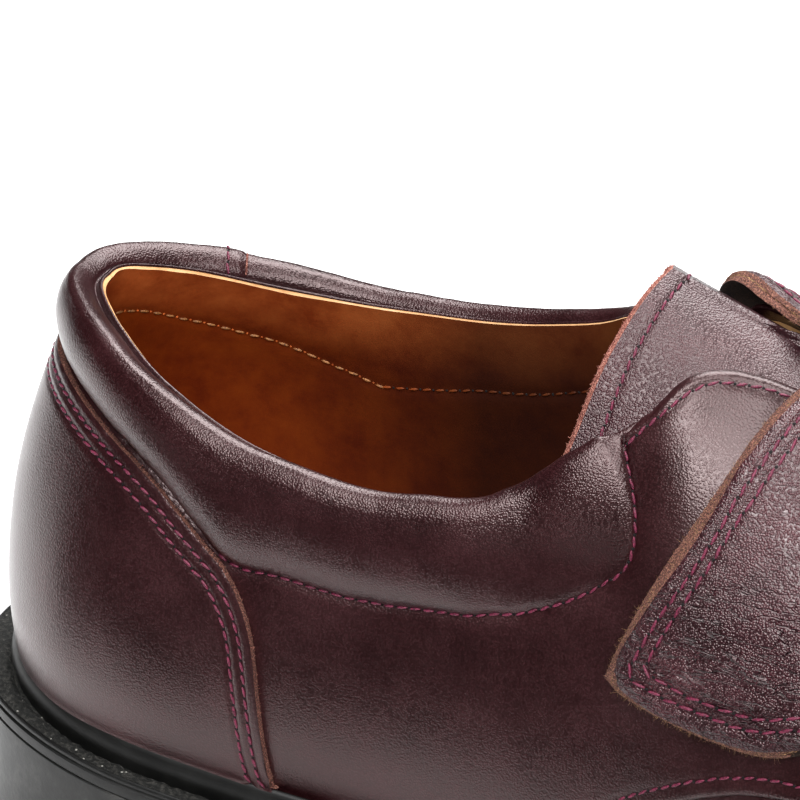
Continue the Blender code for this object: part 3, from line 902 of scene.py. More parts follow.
@dataclass(frozen=True)
class LiningLeather:
    """Vegetable-tanned lining leather: matt tan and mottled, with fine follicle pits.

    Painted light makes it paler at the heel, and painted shade makes it darker towards the toe and
    further below its rim.
    """

    name: str = "vegetable_tanned_lining_leather"
    deep: str = "#7a3210"
    ground: str = "#94491f"
    pale: str = "#a5592a"
    rough: float = 0.58
    # how much the colour is scaled at the heel and towards the toe: painted light and painted shade
    painted_heel_light: float = 2.2
    painted_toe_shade: float = 0.29
    pit: float = 0.35
    pit_depth: float = 0.04

    def make(self) -> Material:
        """Build the material.

        Returns:
            The material.
        """
        made, tree, shader, place = new_material(self.name)
        mottle = add_node(tree, "ShaderNodeTexNoise", {
            "Vector": place, "Scale": cells_per_metre(9.0), "Detail": 6.0,
            "Roughness": 0.7}).outputs["Fac"]
        colour = add_node(tree, "ShaderNodeValToRGB", {"Fac": mottle}, stops=(
            (0.32, self.deep), (0.52, self.ground), (0.72, self.pale))).outputs["Color"]
        # the colour is scaled up at the heel and down towards the toe: painted light and painted
        # shade
        forward = add_node(tree, "ShaderNodeSeparateXYZ", {0: place}).outputs["X"]
        painted_light_heel_to_toe = add_node(tree, "ShaderNodeMapRange", {
            "Value": forward, "From Min": -0.13, "From Max": -0.068,
            "To Min": self.painted_heel_light, "To Max": self.painted_toe_shade}).outputs["Result"]
        colour = add_node(tree, "ShaderNodeVectorMath", {
            0: colour, "Scale": painted_light_heel_to_toe}, operation="SCALE").outputs[0]
        # darker further below the rim, down inside the shoe: painted shade
        below = add_node(tree, "ShaderNodeAttribute", attribute_name="below_edge").outputs["Fac"]
        inside = add_node(tree, "ShaderNodeMapRange", {
            "Value": below, "From Min": 2.5, "From Max": 13.0}).outputs["Result"]
        painted_depth_shade = add_node(tree, "ShaderNodeValToRGB", {"Fac": inside}, stops=(
            (0.0, "#ffffff"), (1.0, "#967a3e"))).outputs["Color"]
        colour = add_node(tree, "ShaderNodeVectorMath", {
            0: colour, 1: painted_depth_shade}, operation="MULTIPLY").outputs[0]
        specks = add_node(tree, "ShaderNodeTexNoise", {
            "Vector": place, "Scale": cells_per_metre(self.pit), "Detail": 2.0}).outputs["Fac"]
        bump = add_node(tree, "ShaderNodeBump", {
            "Height": specks, "Distance": self.pit_depth * MM, "Strength": 1.0})
        feed(tree, shader, {
            "Base Color": colour, "Normal": bump.outputs["Normal"], "Roughness": self.rough,
            "Specular IOR Level": 0.25})
        return made


@dataclass(frozen=True)
class CutEdge:
    """A knife-cut leather edge: torn fibres, lighter and matt where the dye didn't reach."""

    name: str
    deep: str = "#2a120e"
    ground: str = "#583026"
    pale: str = "#9c6a58"
    fibre: float = 0.3
    depth: float = 0.25
    rough: float = 0.85

    def make(self) -> Material:
        """Build the material.

        Returns:
            The material.
        """
        made, tree, shader, place = new_material(self.name)
        fibres = add_node(tree, "ShaderNodeTexNoise", {
            "Vector": place, "Scale": cells_per_metre(self.fibre), "Detail": 3.0,
            "Roughness": 0.7}).outputs["Fac"]
        colour = add_node(tree, "ShaderNodeValToRGB", {"Fac": fibres}, stops=(
            (0.36, self.deep), (0.5, self.ground), (0.66, self.pale))).outputs["Color"]
        bump = add_node(tree, "ShaderNodeBump", {
            "Height": fibres, "Distance": self.depth * MM, "Strength": 1.0})
        feed(tree, shader, {
            "Base Color": colour, "Normal": bump.outputs["Normal"], "Roughness": self.rough})
        return made


@dataclass(frozen=True)
class SewingThread:
    """Bonded polyester thread, twisted, with a slight silky gloss."""

    name: str
    deep: str = "#3c0a1e"
    ground: str = "#74203e"
    twist: float = 0.25
    depth: float = 0.08
    rough: float = 0.5

    def make(self) -> Material:
        """Build the material.

        Returns:
            The material.
        """
        made, tree, shader, place = new_material(self.name)
        twist = add_node(tree, "ShaderNodeTexNoise", {
            "Vector": place, "Scale": cells_per_metre(self.twist), "Detail": 2.0}).outputs["Fac"]
        colour = add_node(tree, "ShaderNodeValToRGB", {"Fac": twist}, stops=(
            (0.35, self.deep), (0.6, self.ground))).outputs["Color"]
        bump = add_node(tree, "ShaderNodeBump", {
            "Height": twist, "Distance": self.depth * MM, "Strength": 1.0})
        feed(tree, shader, {
            "Base Color": colour, "Normal": bump.outputs["Normal"], "Roughness": self.rough})
        return made


@dataclass(frozen=True)
class MouldedRubber:
    """Injection-moulded rubber: charcoal, satin from the mould, roughened where it was buffed."""

    name: str
    deep: str = "#0c0c0b"
    ground: str = "#171716"
    pale: str = "#272624"
    cloud: float = 7.0
    grit: float = 1.2
    grit_depth: float = 0.05
    rough: float = 0.42
    specks: bool = False

    def make(self) -> Material:
        """Build the material.

        Returns:
            The material.
        """
        made, tree, shader, place = new_material(self.name)
        cloud = add_node(tree, "ShaderNodeTexNoise", {
            "Vector": place, "Scale": cells_per_metre(self.cloud), "Detail": 6.0,
            "Roughness": 0.7}).outputs["Fac"]
        grit = add_node(tree, "ShaderNodeTexNoise", {
            "Vector": place, "Scale": cells_per_metre(self.grit), "Detail": 4.0,
            "Roughness": 0.7}).outputs["Fac"]
        tone = grit if self.specks else cloud
        colour = add_node(tree, "ShaderNodeValToRGB", {"Fac": tone}, stops=(
            (0.3, self.deep), (0.5, self.ground), (0.75, self.pale))).outputs["Color"]
        if self.specks:
            dots = add_node(tree, "ShaderNodeTexVoronoi", {
                "Vector": place, "Scale": cells_per_metre(2.2)}, feature="F1")
            dot = add_node(tree, "ShaderNodeMapRange", {
                "Value": dots.outputs["Distance"], "From Min": 0.06, "From Max": 0.12,
                "To Min": 0.7, "To Max": 0.0}).outputs["Result"]
            colour = add_node(tree, "ShaderNodeMix", {
                0: dot, 6: colour, 7: linear("#b9b6ae")}, data_type="RGBA").outputs[2]
        bump = add_node(tree, "ShaderNodeBump", {
            "Height": grit, "Distance": self.grit_depth * MM, "Strength": 1.0})
        feed(tree, shader, {
            "Base Color": colour, "Normal": bump.outputs["Normal"], "Roughness": self.rough,
            "Specular IOR Level": 0.35})
        return made


@dataclass
class Finishes:
    """Every material of the shoe, made once."""

    def __post_init__(self) -> None:
        """Make them."""
        smooth = {"pebble": 0.42, "pebble_depth": 0.030, "pore": 0.4, "pore_depth": 0.008}
        self.quarter = WaxedLeather("aniline_calf_quarter", **smooth, rough=0.32).make()
        self.counter = WaxedLeather(
            "aniline_calf_heel_counter", **smooth, rough=0.32).make()
        self.collar = WaxedLeather(
            "aniline_calf_collar", pebble=0.38, pebble_depth=0.04, pore=0.3, pore_depth=0.01,
            rough=0.30).make()
        self.vamp = WaxedLeather("aniline_calf_vamp", **smooth, rough=0.32).make()
        self.tongue = WaxedLeather(
            "aniline_calf_tongue", ground="#281016", top="#3e1b20", pebble=0.38,
            pebble_depth=0.075, pore=0.3, pore_depth=0.015, rough=0.36, coat=0.4).make()
        # the strap's ground and top are lighter than the quarter's: partly the strap's own tone and
        # partly painted sheen
        self.strap = WaxedLeather(
            "aniline_calf_strap", ground="#2a1016", top="#461d24", pebble=0.40,
            pebble_depth=0.10, pore=0.3, pore_depth=0.02, crease=0.55, rough=0.36, coat=0.7,
            coat_rough=0.22).make()
        self.lining = LiningLeather().make()
        # its cut edge is also painted darker towards the toe, as painted shade
        self.lining_edge = LiningLeather(
            "cut_lining_leather_edge", deep="#b58050", ground="#cf9e6c", pale="#e0b488",
            painted_heel_light=1.0, painted_toe_shade=0.7).make()
        # the sock gets the same painted light at the heel and painted shade towards the toe
        self.sock = LiningLeather("vegetable_tanned_sock_leather", rough=0.55).make()
        self.cut_edge = CutEdge("cut_calf_edge").make()
        self.flaky_edge = CutEdge(
            "torn_calf_edge", deep="#4a2019", ground="#8a4a3e", pale="#d49a88").make()
        self.fibre = CutEdge(
            "leather_fibre", deep="#3e281b", ground="#745238", pale="#b08a60").make()
        # the strap's underside: the flesh side's brown, darkened to near black as painted shade
        # under the strap
        self.flesh_side_in_painted_shade = CutEdge(
            "suede_flesh_side", deep="#1c120d", ground="#2c1d15", pale="#4a3424").make()
        self.thread = SewingThread("bonded_burgundy_thread").make()
        self.pale_thread = SewingThread(
            "bonded_tan_thread", deep="#5a3418", ground="#a8703e").make()
        # near-black marks for the needle holes: painted shade
        self.hole = SewingThread(
            "needle_hole_shadow", deep="#050203", ground="#0b0506", rough=0.9).make()
        self.rubber = MouldedRubber(
            "moulded_rubber_unit", ground="#191918", pale="#383734", rough=0.34).make()
        self.welt = MouldedRubber(
            "moulded_rubber_welt", deep="#060606", ground="#0d0d0c", pale="#171716", rough=0.45,
            grit_depth=0.04).make()
        self.buffed = MouldedRubber(
            "buffed_rubber_welt_top", deep="#060606", ground="#191917", pale="#484642", grit=0.9,
            grit_depth=0.6, rough=0.7, specks=True).make()


# --- stitches and fibres ---


def new_tree(name: str, kinds: dict[str, str]) -> NodeTree:
    """Start a node tree that takes a mesh and some values, and gives a mesh.

    Args:
        name: the tree's name.
        kinds: the socket kind of each value it takes, by the value's name.

    Returns:
        The tree.
    """
    tree = bpy.data.node_groups.new(name, "GeometryNodeTree")
    face = tree.interface
    face.new_socket("Geometry", in_out="INPUT", socket_type="NodeSocketGeometry")
    for label, kind in kinds.items():
        face.new_socket(label, in_out="INPUT", socket_type=f"NodeSocket{kind}")
    face.new_socket("Geometry", in_out="OUTPUT", socket_type="NodeSocketGeometry")
    return tree


@dataclass
class Sewing:
    """Rows of stitches laid on finished pieces, with a small mark for each needle hole between them,
    near black on most rows as painted shade.
    """

    pitch: float = 2.4
    length: float = 2.15
    width: float = 0.52
    slant: float = 0.16
    step: float = 0.9

    def tree(self) -> NodeTree:
        """The node tree that sets stitches and holes in turn along each line.

        Returns:
            The tree, made once.
        """
        name = "stitch_rows"
        if name in bpy.data.node_groups:
            return bpy.data.node_groups[name]
        tree = new_tree(name, {
            "Pitch": "Float", "Length": "Float", "Width": "Float", "Slant": "Float",
            "Thread": "Material", "Hole": "Material"})
        given = add_node(tree, "NodeGroupInput").outputs
        half = add_node(tree, "ShaderNodeMath", {0: given["Pitch"], 1: 0.5}, operation="MULTIPLY")
        curve = add_node(tree, "GeometryNodeMeshToCurve", {"Mesh": given["Geometry"]})
        spaced = add_node(tree, "GeometryNodeResampleCurve", {
            "Curve": curve.outputs[0], "Length": half.outputs[0]}, mode="LENGTH").outputs[0]
        normal = add_node(tree, "GeometryNodeInputNamedAttribute", {
            "Name": "surface_normal"}, data_type="FLOAT_VECTOR").outputs["Attribute"]
        tangent = add_node(tree, "GeometryNodeInputTangent").outputs[0]
        aligned = add_node(tree, "FunctionNodeAxesToRotation", {
            "Primary Axis": normal, "Secondary Axis": tangent},
            primary_axis="Z", secondary_axis="X").outputs[0]
        wobble = add_node(tree, "FunctionNodeRandomValue", {
            "Min": (-0.05, -0.04, -0.09), "Max": (0.05, 0.04, 0.09), "Seed": 3},
            data_type="FLOAT_VECTOR").outputs[0]
        lean = add_node(tree, "ShaderNodeCombineXYZ", {"Z": given["Slant"]}).outputs[0]
        angles = add_node(tree, "ShaderNodeVectorMath", {0: wobble, 1: lean}, operation="ADD")
        turned = add_node(tree, "FunctionNodeEulerToRotation", {"Euler": angles.outputs[0]})
        rotation = add_node(tree, "FunctionNodeRotateRotation", {
            "Rotation": aligned, "Rotate By": turned.outputs[0]},
            rotation_space="LOCAL").outputs[0]
        index = add_node(tree, "GeometryNodeInputIndex").outputs[0]
        odd = add_node(tree, "ShaderNodeMath", {0: index, 1: 2.0}, operation="MODULO").outputs[0]
        even = add_node(tree, "ShaderNodeMath", {0: 1.0, 1: odd}, operation="SUBTRACT").outputs[0]
        grow = add_node(tree, "FunctionNodeRandomValue", {
            "Min": (0.90, 0.92, 0.92), "Max": (1.05, 1.08, 1.08), "Seed": 8},
            data_type="FLOAT_VECTOR").outputs[0]
        branches = []
        for label, chosen, segments, rings, shape, lift in (
                ("Thread", even, 10, 7, (1.0, 1.0, 0.95), 0.10),
                ("Hole", odd, 8, 5, (0.25, 1.1, 0.52), 0.04)):
            ball = add_node(tree, "GeometryNodeMeshUVSphere", {
                "Segments": segments, "Rings": rings, "Radius": 0.5}).outputs[0]
            size = add_node(tree, "ShaderNodeCombineXYZ", {
                "X": given["Length"], "Y": given["Width"], "Z": given["Width"]}).outputs[0]
            size = add_node(tree, "ShaderNodeVectorMath", {
                0: size, 1: shape}, operation="MULTIPLY").outputs[0]
            one = add_node(tree, "GeometryNodeTransform", {
                "Geometry": ball, "Scale": size, "Translation": (0.0, 0.0, lift * MM)}).outputs[0]
            many = add_node(tree, "GeometryNodeInstanceOnPoints", {
                "Points": spaced, "Selection": chosen, "Instance": one, "Rotation": rotation,
                "Scale": grow}).outputs[0]
            real = add_node(tree, "GeometryNodeRealizeInstances", {"Geometry": many}).outputs[0]
            branches.append(add_node(tree, "GeometryNodeSetMaterial", {
                "Geometry": real, "Material": given[label]}).outputs[0])
        joined = add_node(tree, "GeometryNodeJoinGeometry")
        for branch in branches:
            tree.links.new(branch, joined.inputs[0])
        smooth = add_node(tree, "GeometryNodeSetShadeSmooth", {"Geometry": joined.outputs[0]})
        add_node(tree, "NodeGroupOutput", {0: smooth.outputs[0]})
        return tree

    def lay(self, name: str, rows: list[tuple[Array, BVHTree]], thread: Material,
            hole: Material, slot: str) -> None:
        """Lay rows of stitches as one dressed piece.

        Args:
            name: the object's name.
            rows: each row's path in millimetres and the surface it is sewn to.
            thread: the stitches' material.
            hole: the needle holes' material.
            slot: passed on to dress.
        """
        verts, edges, normals = [], [], []
        for line, surface in rows:
            first = len(verts)
            for point in placed(respaced(line, self.step)):
                spot, normal, _, _ = surface.find_nearest(Vector(point))
                verts.append(spot)
                normals.extend(normal)
            edges += [(k, k + 1) for k in range(first, len(verts) - 1)]
        mesh = bpy.data.meshes.new(name + "_path")
        mesh.from_pydata(verts, edges, [])
        mesh.attributes.new("surface_normal", "FLOAT_VECTOR", "POINT").data.foreach_set(
            "vector", np.array(normals, np.float32))
        values = {"Pitch": self.pitch * MM, "Length": self.length * MM, "Width": self.width * MM,
                  "Slant": self.slant, "Thread": thread, "Hole": hole}
        dress(grow_on(name, mesh, self.tree(), values), slot)


@dataclass
class Fuzz:
    """Loose fibres that stand out of a raw edge."""

    density: float = 3.0
    length: float = 0.9
    radius: float = 0.05
    spread: float = 1.0

    def tree(self) -> NodeTree:
        """The node tree that stands fibres on faces.

        Returns:
            The tree, made once.
        """
        name = "edge_fibres"
        if name in bpy.data.node_groups:
            return bpy.data.node_groups[name]
        tree = new_tree(name, {
            "Density": "Float", "Length": "Float", "Radius": "Float", "Spread": "Float",
            "Seed": "Int", "Fibre": "Material"})
        given = add_node(tree, "NodeGroupInput").outputs
        points = add_node(tree, "GeometryNodeDistributePointsOnFaces", {
            "Mesh": given["Geometry"], "Density": given["Density"], "Seed": given["Seed"]})
        low = add_node(tree, "ShaderNodeVectorMath", {
            0: (-1.0, -1.0, -3.0), "Scale": given["Spread"]}, operation="SCALE").outputs[0]
        high = add_node(tree, "ShaderNodeVectorMath", {
            0: (1.0, 1.0, 3.0), "Scale": given["Spread"]}, operation="SCALE").outputs[0]
        lean = add_node(tree, "FunctionNodeRandomValue", {
            "Min": low, "Max": high, "Seed": given["Seed"]}, data_type="FLOAT_VECTOR").outputs[0]
        turned = add_node(tree, "FunctionNodeEulerToRotation", {"Euler": lean}).outputs[0]
        rotation = add_node(tree, "FunctionNodeRotateRotation", {
            "Rotation": points.outputs["Rotation"], "Rotate By": turned},
            rotation_space="LOCAL").outputs[0]
        grow = add_node(tree, "FunctionNodeRandomValue", {
            2: 0.25, 3: 1.3, "Seed": given["Seed"]}, data_type="FLOAT").outputs[1]
        hair = add_node(tree, "GeometryNodeMeshCone", {
            "Vertices": 3, "Side Segments": 1, "Radius Top": 0.01 * MM,
            "Radius Bottom": given["Radius"], "Depth": given["Length"]},
            fill_type="NGON").outputs[0]
        many = add_node(tree, "GeometryNodeInstanceOnPoints", {
            "Points": points.outputs["Points"], "Instance": hair, "Rotation": rotation,
            "Scale": grow}).outputs[0]
        real = add_node(tree, "GeometryNodeRealizeInstances", {"Geometry": many}).outputs[0]
        dressed = add_node(tree, "GeometryNodeSetMaterial", {
            "Geometry": real, "Material": given["Fibre"]}).outputs[0]
        add_node(tree, "NodeGroupOutput", {0: dressed})
        return tree

    def grow(self, name: str, piece: Object, fibre: Material, seed: int, slot: str) -> None:
        """Grow fibres on a piece's raw rim, as one dressed piece.

        Args:
            name: the object's name.
            piece: the piece, whose rim has its second material.
            fibre: the fibres' material.
            seed: fixes where they stand.
            slot: passed on to dress.
        """
        maker = bmesh.new()
        maker.from_mesh(piece.data)
        rest = [face for face in maker.faces if face.material_index != 1]
        bmesh.ops.delete(maker, geom=rest, context="FACES")
        mesh = bpy.data.meshes.new(name + "_bed")
        maker.to_mesh(mesh)
        maker.free()
        values = {"Density": self.density / (MM * MM), "Length": self.length * MM,
                  "Radius": self.radius * MM, "Spread": self.spread, "Seed": seed, "Fibre": fibre}
        dress(grow_on(name, mesh, self.tree(), values), slot)


def grow_on(name: str, mesh: bpy.types.Mesh, tree: NodeTree, values: dict) -> Object:
    """Run a node tree on a mesh and keep the result as a plain mesh.

    Args:
        name: the new object's name.
        mesh: what the tree works on.
        tree: the node tree.
        values: its inputs by name.

    Returns:
        The new object.
    """
    bed = link(name + "_bed", mesh)
    run = bed.modifiers.new("Rows", "NODES")
    run.node_group = tree
    for item in tree.interface.items_tree:
        if item.in_out == "INPUT" and item.name in values:
            run[item.identifier] = values[item.name]
    result = final_mesh(bed)
    result.name = name
    made = link(name, result)
    bpy.data.objects.remove(bed, do_unlink=True)
    return made


def inner_row(face: Array, gap: Array, inset: float) -> Array:
    """The row at a distance inside a grid's last column.

    Args:
        face: the grid of points.
        gap: every point's distance from the last column's edge.
        inset: the distance wanted.

    Returns:
        The row's path, in millimetres.
    """
    row = []
    for points, far in zip(face, gap):
        reached = np.nonzero(far[::-1] >= inset)[0]
        if len(reached):
            j = len(far) - 1 - reached[0]
            part = (inset - far[j + 1]) / (far[j] - far[j + 1])
            row.append(points[j + 1] + (points[j] - points[j + 1]) * part)
    return np.array(row)


def dress(piece: Object, slot: str, *nodes: str) -> Object:
    """Tell the frame what a piece rides on, and hide the nodes it stands for.

    Args:
        piece: the piece.
        slot: not used.
        nodes: the nodes it replaces, if any.

    Returns:
        The piece.
    """
    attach(piece, "root")
    if nodes:
        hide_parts(*nodes)
    LOG.info("%s: %d faces", piece.name, len(piece.data.polygons))
    return piece


# --- the pieces ---


@dataclass
class Upper:
    """Vamp, two quarters with their facings, and the lining behind them."""

    finishes: Finishes
    sewing: Sewing
    leather: float = 1.0
    wall: float = 1.85
    foot: float = -0.05
    lap_from: float = 98.0
    facing_from: float = 112.0
    throat_from: float = 184.0
    throat_full: float = 189.0
    quarter_to: float = 191.9
    throat: float = 192.0
    toe_top: tuple[float, float, float] = (259.0, 6.4, 53.0)
    toe_reach: float = 17.0
    # along, rise of the quarter's lower edge where it laps over the vamp
    lap: Rows = (
        (0.0, -0.05), (96.0, -0.05), (108.0, 0.0), (118.0, 0.052), (126.0, 0.095), (135.0, 0.128),
        (140.0, 0.145), (146.4, 0.171), (153.4, 0.195), (160.4, 0.214), (165.0, 0.226),
        (172.0, 0.262), (180.0, 0.32), (186.0, 0.40), (190.0, 0.50), (192.0, 0.60),
    )
    # along, rise of the quarter's upper edge
    head: Rows = (
        (0.0, 1.0), (108.0, 1.0), (112.0, 0.92), (115.7, 0.822), (120.0, 0.735), (124.0, 0.674),
        (126.5, 0.655), (129.0, 0.649), (131.5, 0.652), (133.0, 0.664), (134.5, 0.681),
        (136.5, 0.707), (139.0, 0.734), (141.5, 0.757), (145.0, 0.783), (149.0, 0.798),
        (153.5, 0.812), (165.0, 0.855), (172.0, 0.89), (178.0, 0.915), (184.0, 0.91),
        (188.0, 0.86), (190.5, 0.78), (192.0, 0.64),
    )
    # along, rise of the stitch row inside the facing's edge
    facing_row: Rows = (
        (127.2, 0.62), (129.0, 0.622), (131.0, 0.628), (133.5, 0.641), (136.0, 0.666),
        (139.5, 0.709), (142.0, 0.733), (144.5, 0.749), (148.0, 0.767), (151.0, 0.777),
        (156.0, 0.793), (166.0, 0.832), (176.0, 0.87), (183.0, 0.862), (187.0, 0.80), (188.5, 0.70),
    )
    # along, rise of the row that sews the quarter to the vamp
    lap_row: Rows = (
        (98.0, -0.03), (108.0, 0.018), (118.0, 0.072), (126.0, 0.116), (135.1, 0.149),
        (139.7, 0.165), (146.4, 0.191), (153.4, 0.215), (160.4, 0.235), (166.0, 0.251),
        (172.0, 0.285), (179.0, 0.34), (184.5, 0.42), (188.0, 0.52), (188.6, 0.66),
    )
    # along, rise of the cream row in the lining, medial half
    lining_row: Rows = (
        (0.3, 0.777), (4.3, 0.777), (9.2, 0.772), (16.0, 0.752), (23.3, 0.743), (31.6, 0.736),
        (36.6, 0.725), (43.4, 0.702), (48.2, 0.692), (53.9, 0.675),
    )
    # along, rise of the row below it towards the throat, in thread of the lining's own tone
    dark_row: Rows = (
        (53.9, 0.675), (60.2, 0.694), (67.6, 0.72), (76.5, 0.751), (92.5, 0.764), (104.0, 0.765),
    )

    def make(self) -> None:
        """Build and dress every piece of the upper."""
        self.make_vamp()
        for side in Side:
            self.make_quarter(side)
        self.make_lining()

    def row(self, table: Rows, side: Side, lift: float = 0.0) -> Array:
        """A row of the upper as points on the form.

        Args:
            table: place along and rise of its points.
            side: which half.
            lift: how far it is moved off the form, in millimetres.

        Returns:
            The row's path, in millimetres.
        """
        keys = np.array(table, float)
        at = np.linspace(0.0, len(keys) - 1.0, len(keys) * 12)
        index = np.arange(len(keys), dtype=float)
        along = smooth_curve(index, keys[:, 0], at)
        rise = smooth_curve(index, keys[:, 1], at)
        points = FORM.point(along, rise, side)
        if lift:
            near = np.stack([
                FORM.point(along - 0.3, rise, side), FORM.point(along + 0.3, rise, side)])
            up = np.stack([
                FORM.point(along, rise - 0.004, side), FORM.point(along, rise + 0.004, side)])
            normal = unit(np.cross(near[1] - near[0], up[1] - up[0])) * -side.value
            points = points + normal * lift
        return points

    def quarter_edge(self, side: Side) -> Array:
        """The quarter's lapped edge, from the sole round its front to the facing.

        Args:
            side: which quarter.

        Returns:
            The edge's path, in millimetres.
        """
        ahead = np.linspace(self.lap_from, self.quarter_to, 180)
        back = np.linspace(self.quarter_to, 176.0, 50)
        rise = [soft_rows(self.lap, 1, ahead), soft_rows(self.head, 1, back)]
        return FORM.point(np.concatenate([ahead, back]), np.concatenate(rise), side)

    def make_vamp(self) -> None:
        """The vamp, which runs over the toe and tucks under both quarters.

        It is sunk by the leather's thickness where a quarter covers it and rises to the form's
        own surface as it comes clear of them.
        """
        turn = FORM.round_toe(self.lap_from, 300)
        along = FORM.along_of(np.abs(turn))
        tuck = ((98.0, 0.03), (118.0, 0.13), (135.0, 0.21), (165.0, 0.31), (176.0, 0.40),
                (182.0, 0.52), (187.0, 0.80), (190.0, 1.0))
        high = soft_rows(tuck, 1, along, 2.5)
        high = np.where(along > self.throat_full, 1.0, np.minimum(high, 1.0))
        shown, rise, grid, normals = FORM.rib_grid(
            turn, self.foot, high, np.linspace(0.0, 1.0, TOP_POINTS))
        edges = np.concatenate([self.quarter_edge(Side.LATERAL), self.quarter_edge(Side.MEDIAL)])
        gap = distance_to(grid, edges)
        under = (rise > soft_rows(self.lap, 1, shown)) & (shown < self.throat)
        under &= rise < soft_rows(self.head, 1, shown) + 0.03
        clear = smooth_step(gap / 9.0)
        free = clear * smooth_step((shown - self.throat_from) / 9.0)
        free = np.where(shown > self.throat, clear, free)
        drop = np.where(under, -1.0, -1.0 + free) * (self.leather + 0.08)
        drop = drop + self.flex(grid)
        grid = grid + normals * drop[..., None]
        half = len(turn) // 2
        vamp = open_skin("vamp", [grid[:half + 1], grid[half:]])
        vamp.data.materials.append(self.finishes.vamp)
        self.relax(vamp, placed(np.array(self.toe_top)), self.toe_reach * MM, 70)
        thicken(vamp, 0.4)
        dress(vamp, "burgundy_leather", "upper")

    def relax(self, piece: Object, centre: Array, reach: float, times: int) -> None:
        """Smooth a piece round a place, where its rows of points run together.

        Args:
            piece: the piece.
            centre: the place, in metres.
            reach: how far round it the first pass goes; the last goes half as far.
            times: how many passes.
        """
        with edited(piece) as maker:
            for share in np.linspace(1.0, 0.5, times):
                near = [vert for vert in maker.verts
                        if (vert.co - Vector(centre)).length < reach * share]
                bmesh.ops.smooth_vert(
                    maker, verts=near, factor=0.5, use_axis_x=True, use_axis_y=True,
                    use_axis_z=True)

    def flex(self, points: Array) -> Array:
        """Soft creases across the vamp where the foot bends, and the slight waves of lasting.

        Args:
            points: the vamp's points, in millimetres.

        Returns:
            How far each is moved outwards.
        """
        x = points[..., 0]
        y = points[..., 1]
        total = 0.12 * ripple(points, 38.0, 4)
        for place, depth, width, lean in (
                (203.0, 0.22, 3.4, 0.10), (211.0, 0.16, 2.6, 0.05), (219.0, 0.12, 2.4, 0.0)):
            line = x - place - lean * (y - 2.0) + 0.004 * (y - 2.0) ** 2
            total = total + groove(line, depth, width) * smooth_step(1.5 - np.abs(y) / 30.0)
        return total

    def make_quarter(self, side: Side) -> None:
        """One quarter: from the heel's back to the facing's front, folded at the facing's edge.

        Args:
            side: which quarter.
        """
        rear = np.linspace(0.0, float(FORM.turn_of(self.facing_from)), 106)
        along = np.concatenate([
            FORM.along_of(rear)[:-1], np.linspace(self.facing_from, self.quarter_to, 134)])
        low = soft_rows(self.lap, 1, along)
        high = to_topline(soft_rows(self.head, 1, along, TIGHT), along)
        share = np.linspace(0.0, 1.0, 92)[None, :]
        rise = low[:, None] + (high - low)[:, None] * share
        shown = along[:, None] + 0.0 * rise
        grid = FORM.point(shown, rise, side)
        normals, _ = outward(grid)
        facing = distance_to(grid, grid[along > 118.0, -1])
        lap = distance_to(grid, grid[along > 100.0, 0])
        sewn = distance_to(grid, self.row(self.facing_row, side))
        lap_sewn = distance_to(grid, self.row(self.lap_row, side))
        seam = distance_to(grid, PaddedCollar.seam_path(side))
        covered = PaddedCollar.covers(shown, rise)
        puff = 0.60 * smooth_step(1.0 - facing / 9.0)
        puff = puff + 0.20 * np.exp(-(((facing - 1.4) / 1.0) ** 2))
        lift = 0.10 * ripple(grid, 34.0, 9 if side is Side.LATERAL else 12)
        lift += groove(sewn, 0.26, 0.75) + groove(lap_sewn, 0.25, 0.6)
        lift += puff * np.maximum(smooth_step(seam / 2.0), smooth_step(1.5 - facing / 1.8))
        lift -= 0.75 * np.clip(1.0 - facing / 1.9, 0.0, 1.0) ** 2.2
        lift -= 0.20 * np.clip(1.0 - lap / 0.5, 0.0, 1.0) ** 2
        lift += 0.06 * ripple(grid, 4.0, 14) * np.exp(-((np.minimum(seam, sewn) / 2.5) ** 2))
        hidden = -0.42 - 0.25 * smooth_step(seam / 1.2)
        lift = np.where(covered, hidden, lift + groove(seam, 0.42, 1.0))
        face = grid + normals * lift[..., None]
        back = grid + normals * np.maximum(np.minimum(lift, 0.0) - self.leather, -1.3)[..., None]
        name = side.name.lower()
        piece = Hide(f"quarter_{name}", face, back, Rim.FOLDED, 3, 0.03).build(
            [self.finishes.quarter, self.finishes.quarter])
        surface = surface_of(piece)
        rows = [(self.row(self.facing_row, side, 0.2), surface),
                (self.row(self.lap_row, side, 0.2), surface)]
        dress(piece, "burgundy_leather", "upper")
        self.sewing.lay(f"quarter_{name}_stitches", rows, self.finishes.thread,
                        self.finishes.hole, "burgundy_leather")

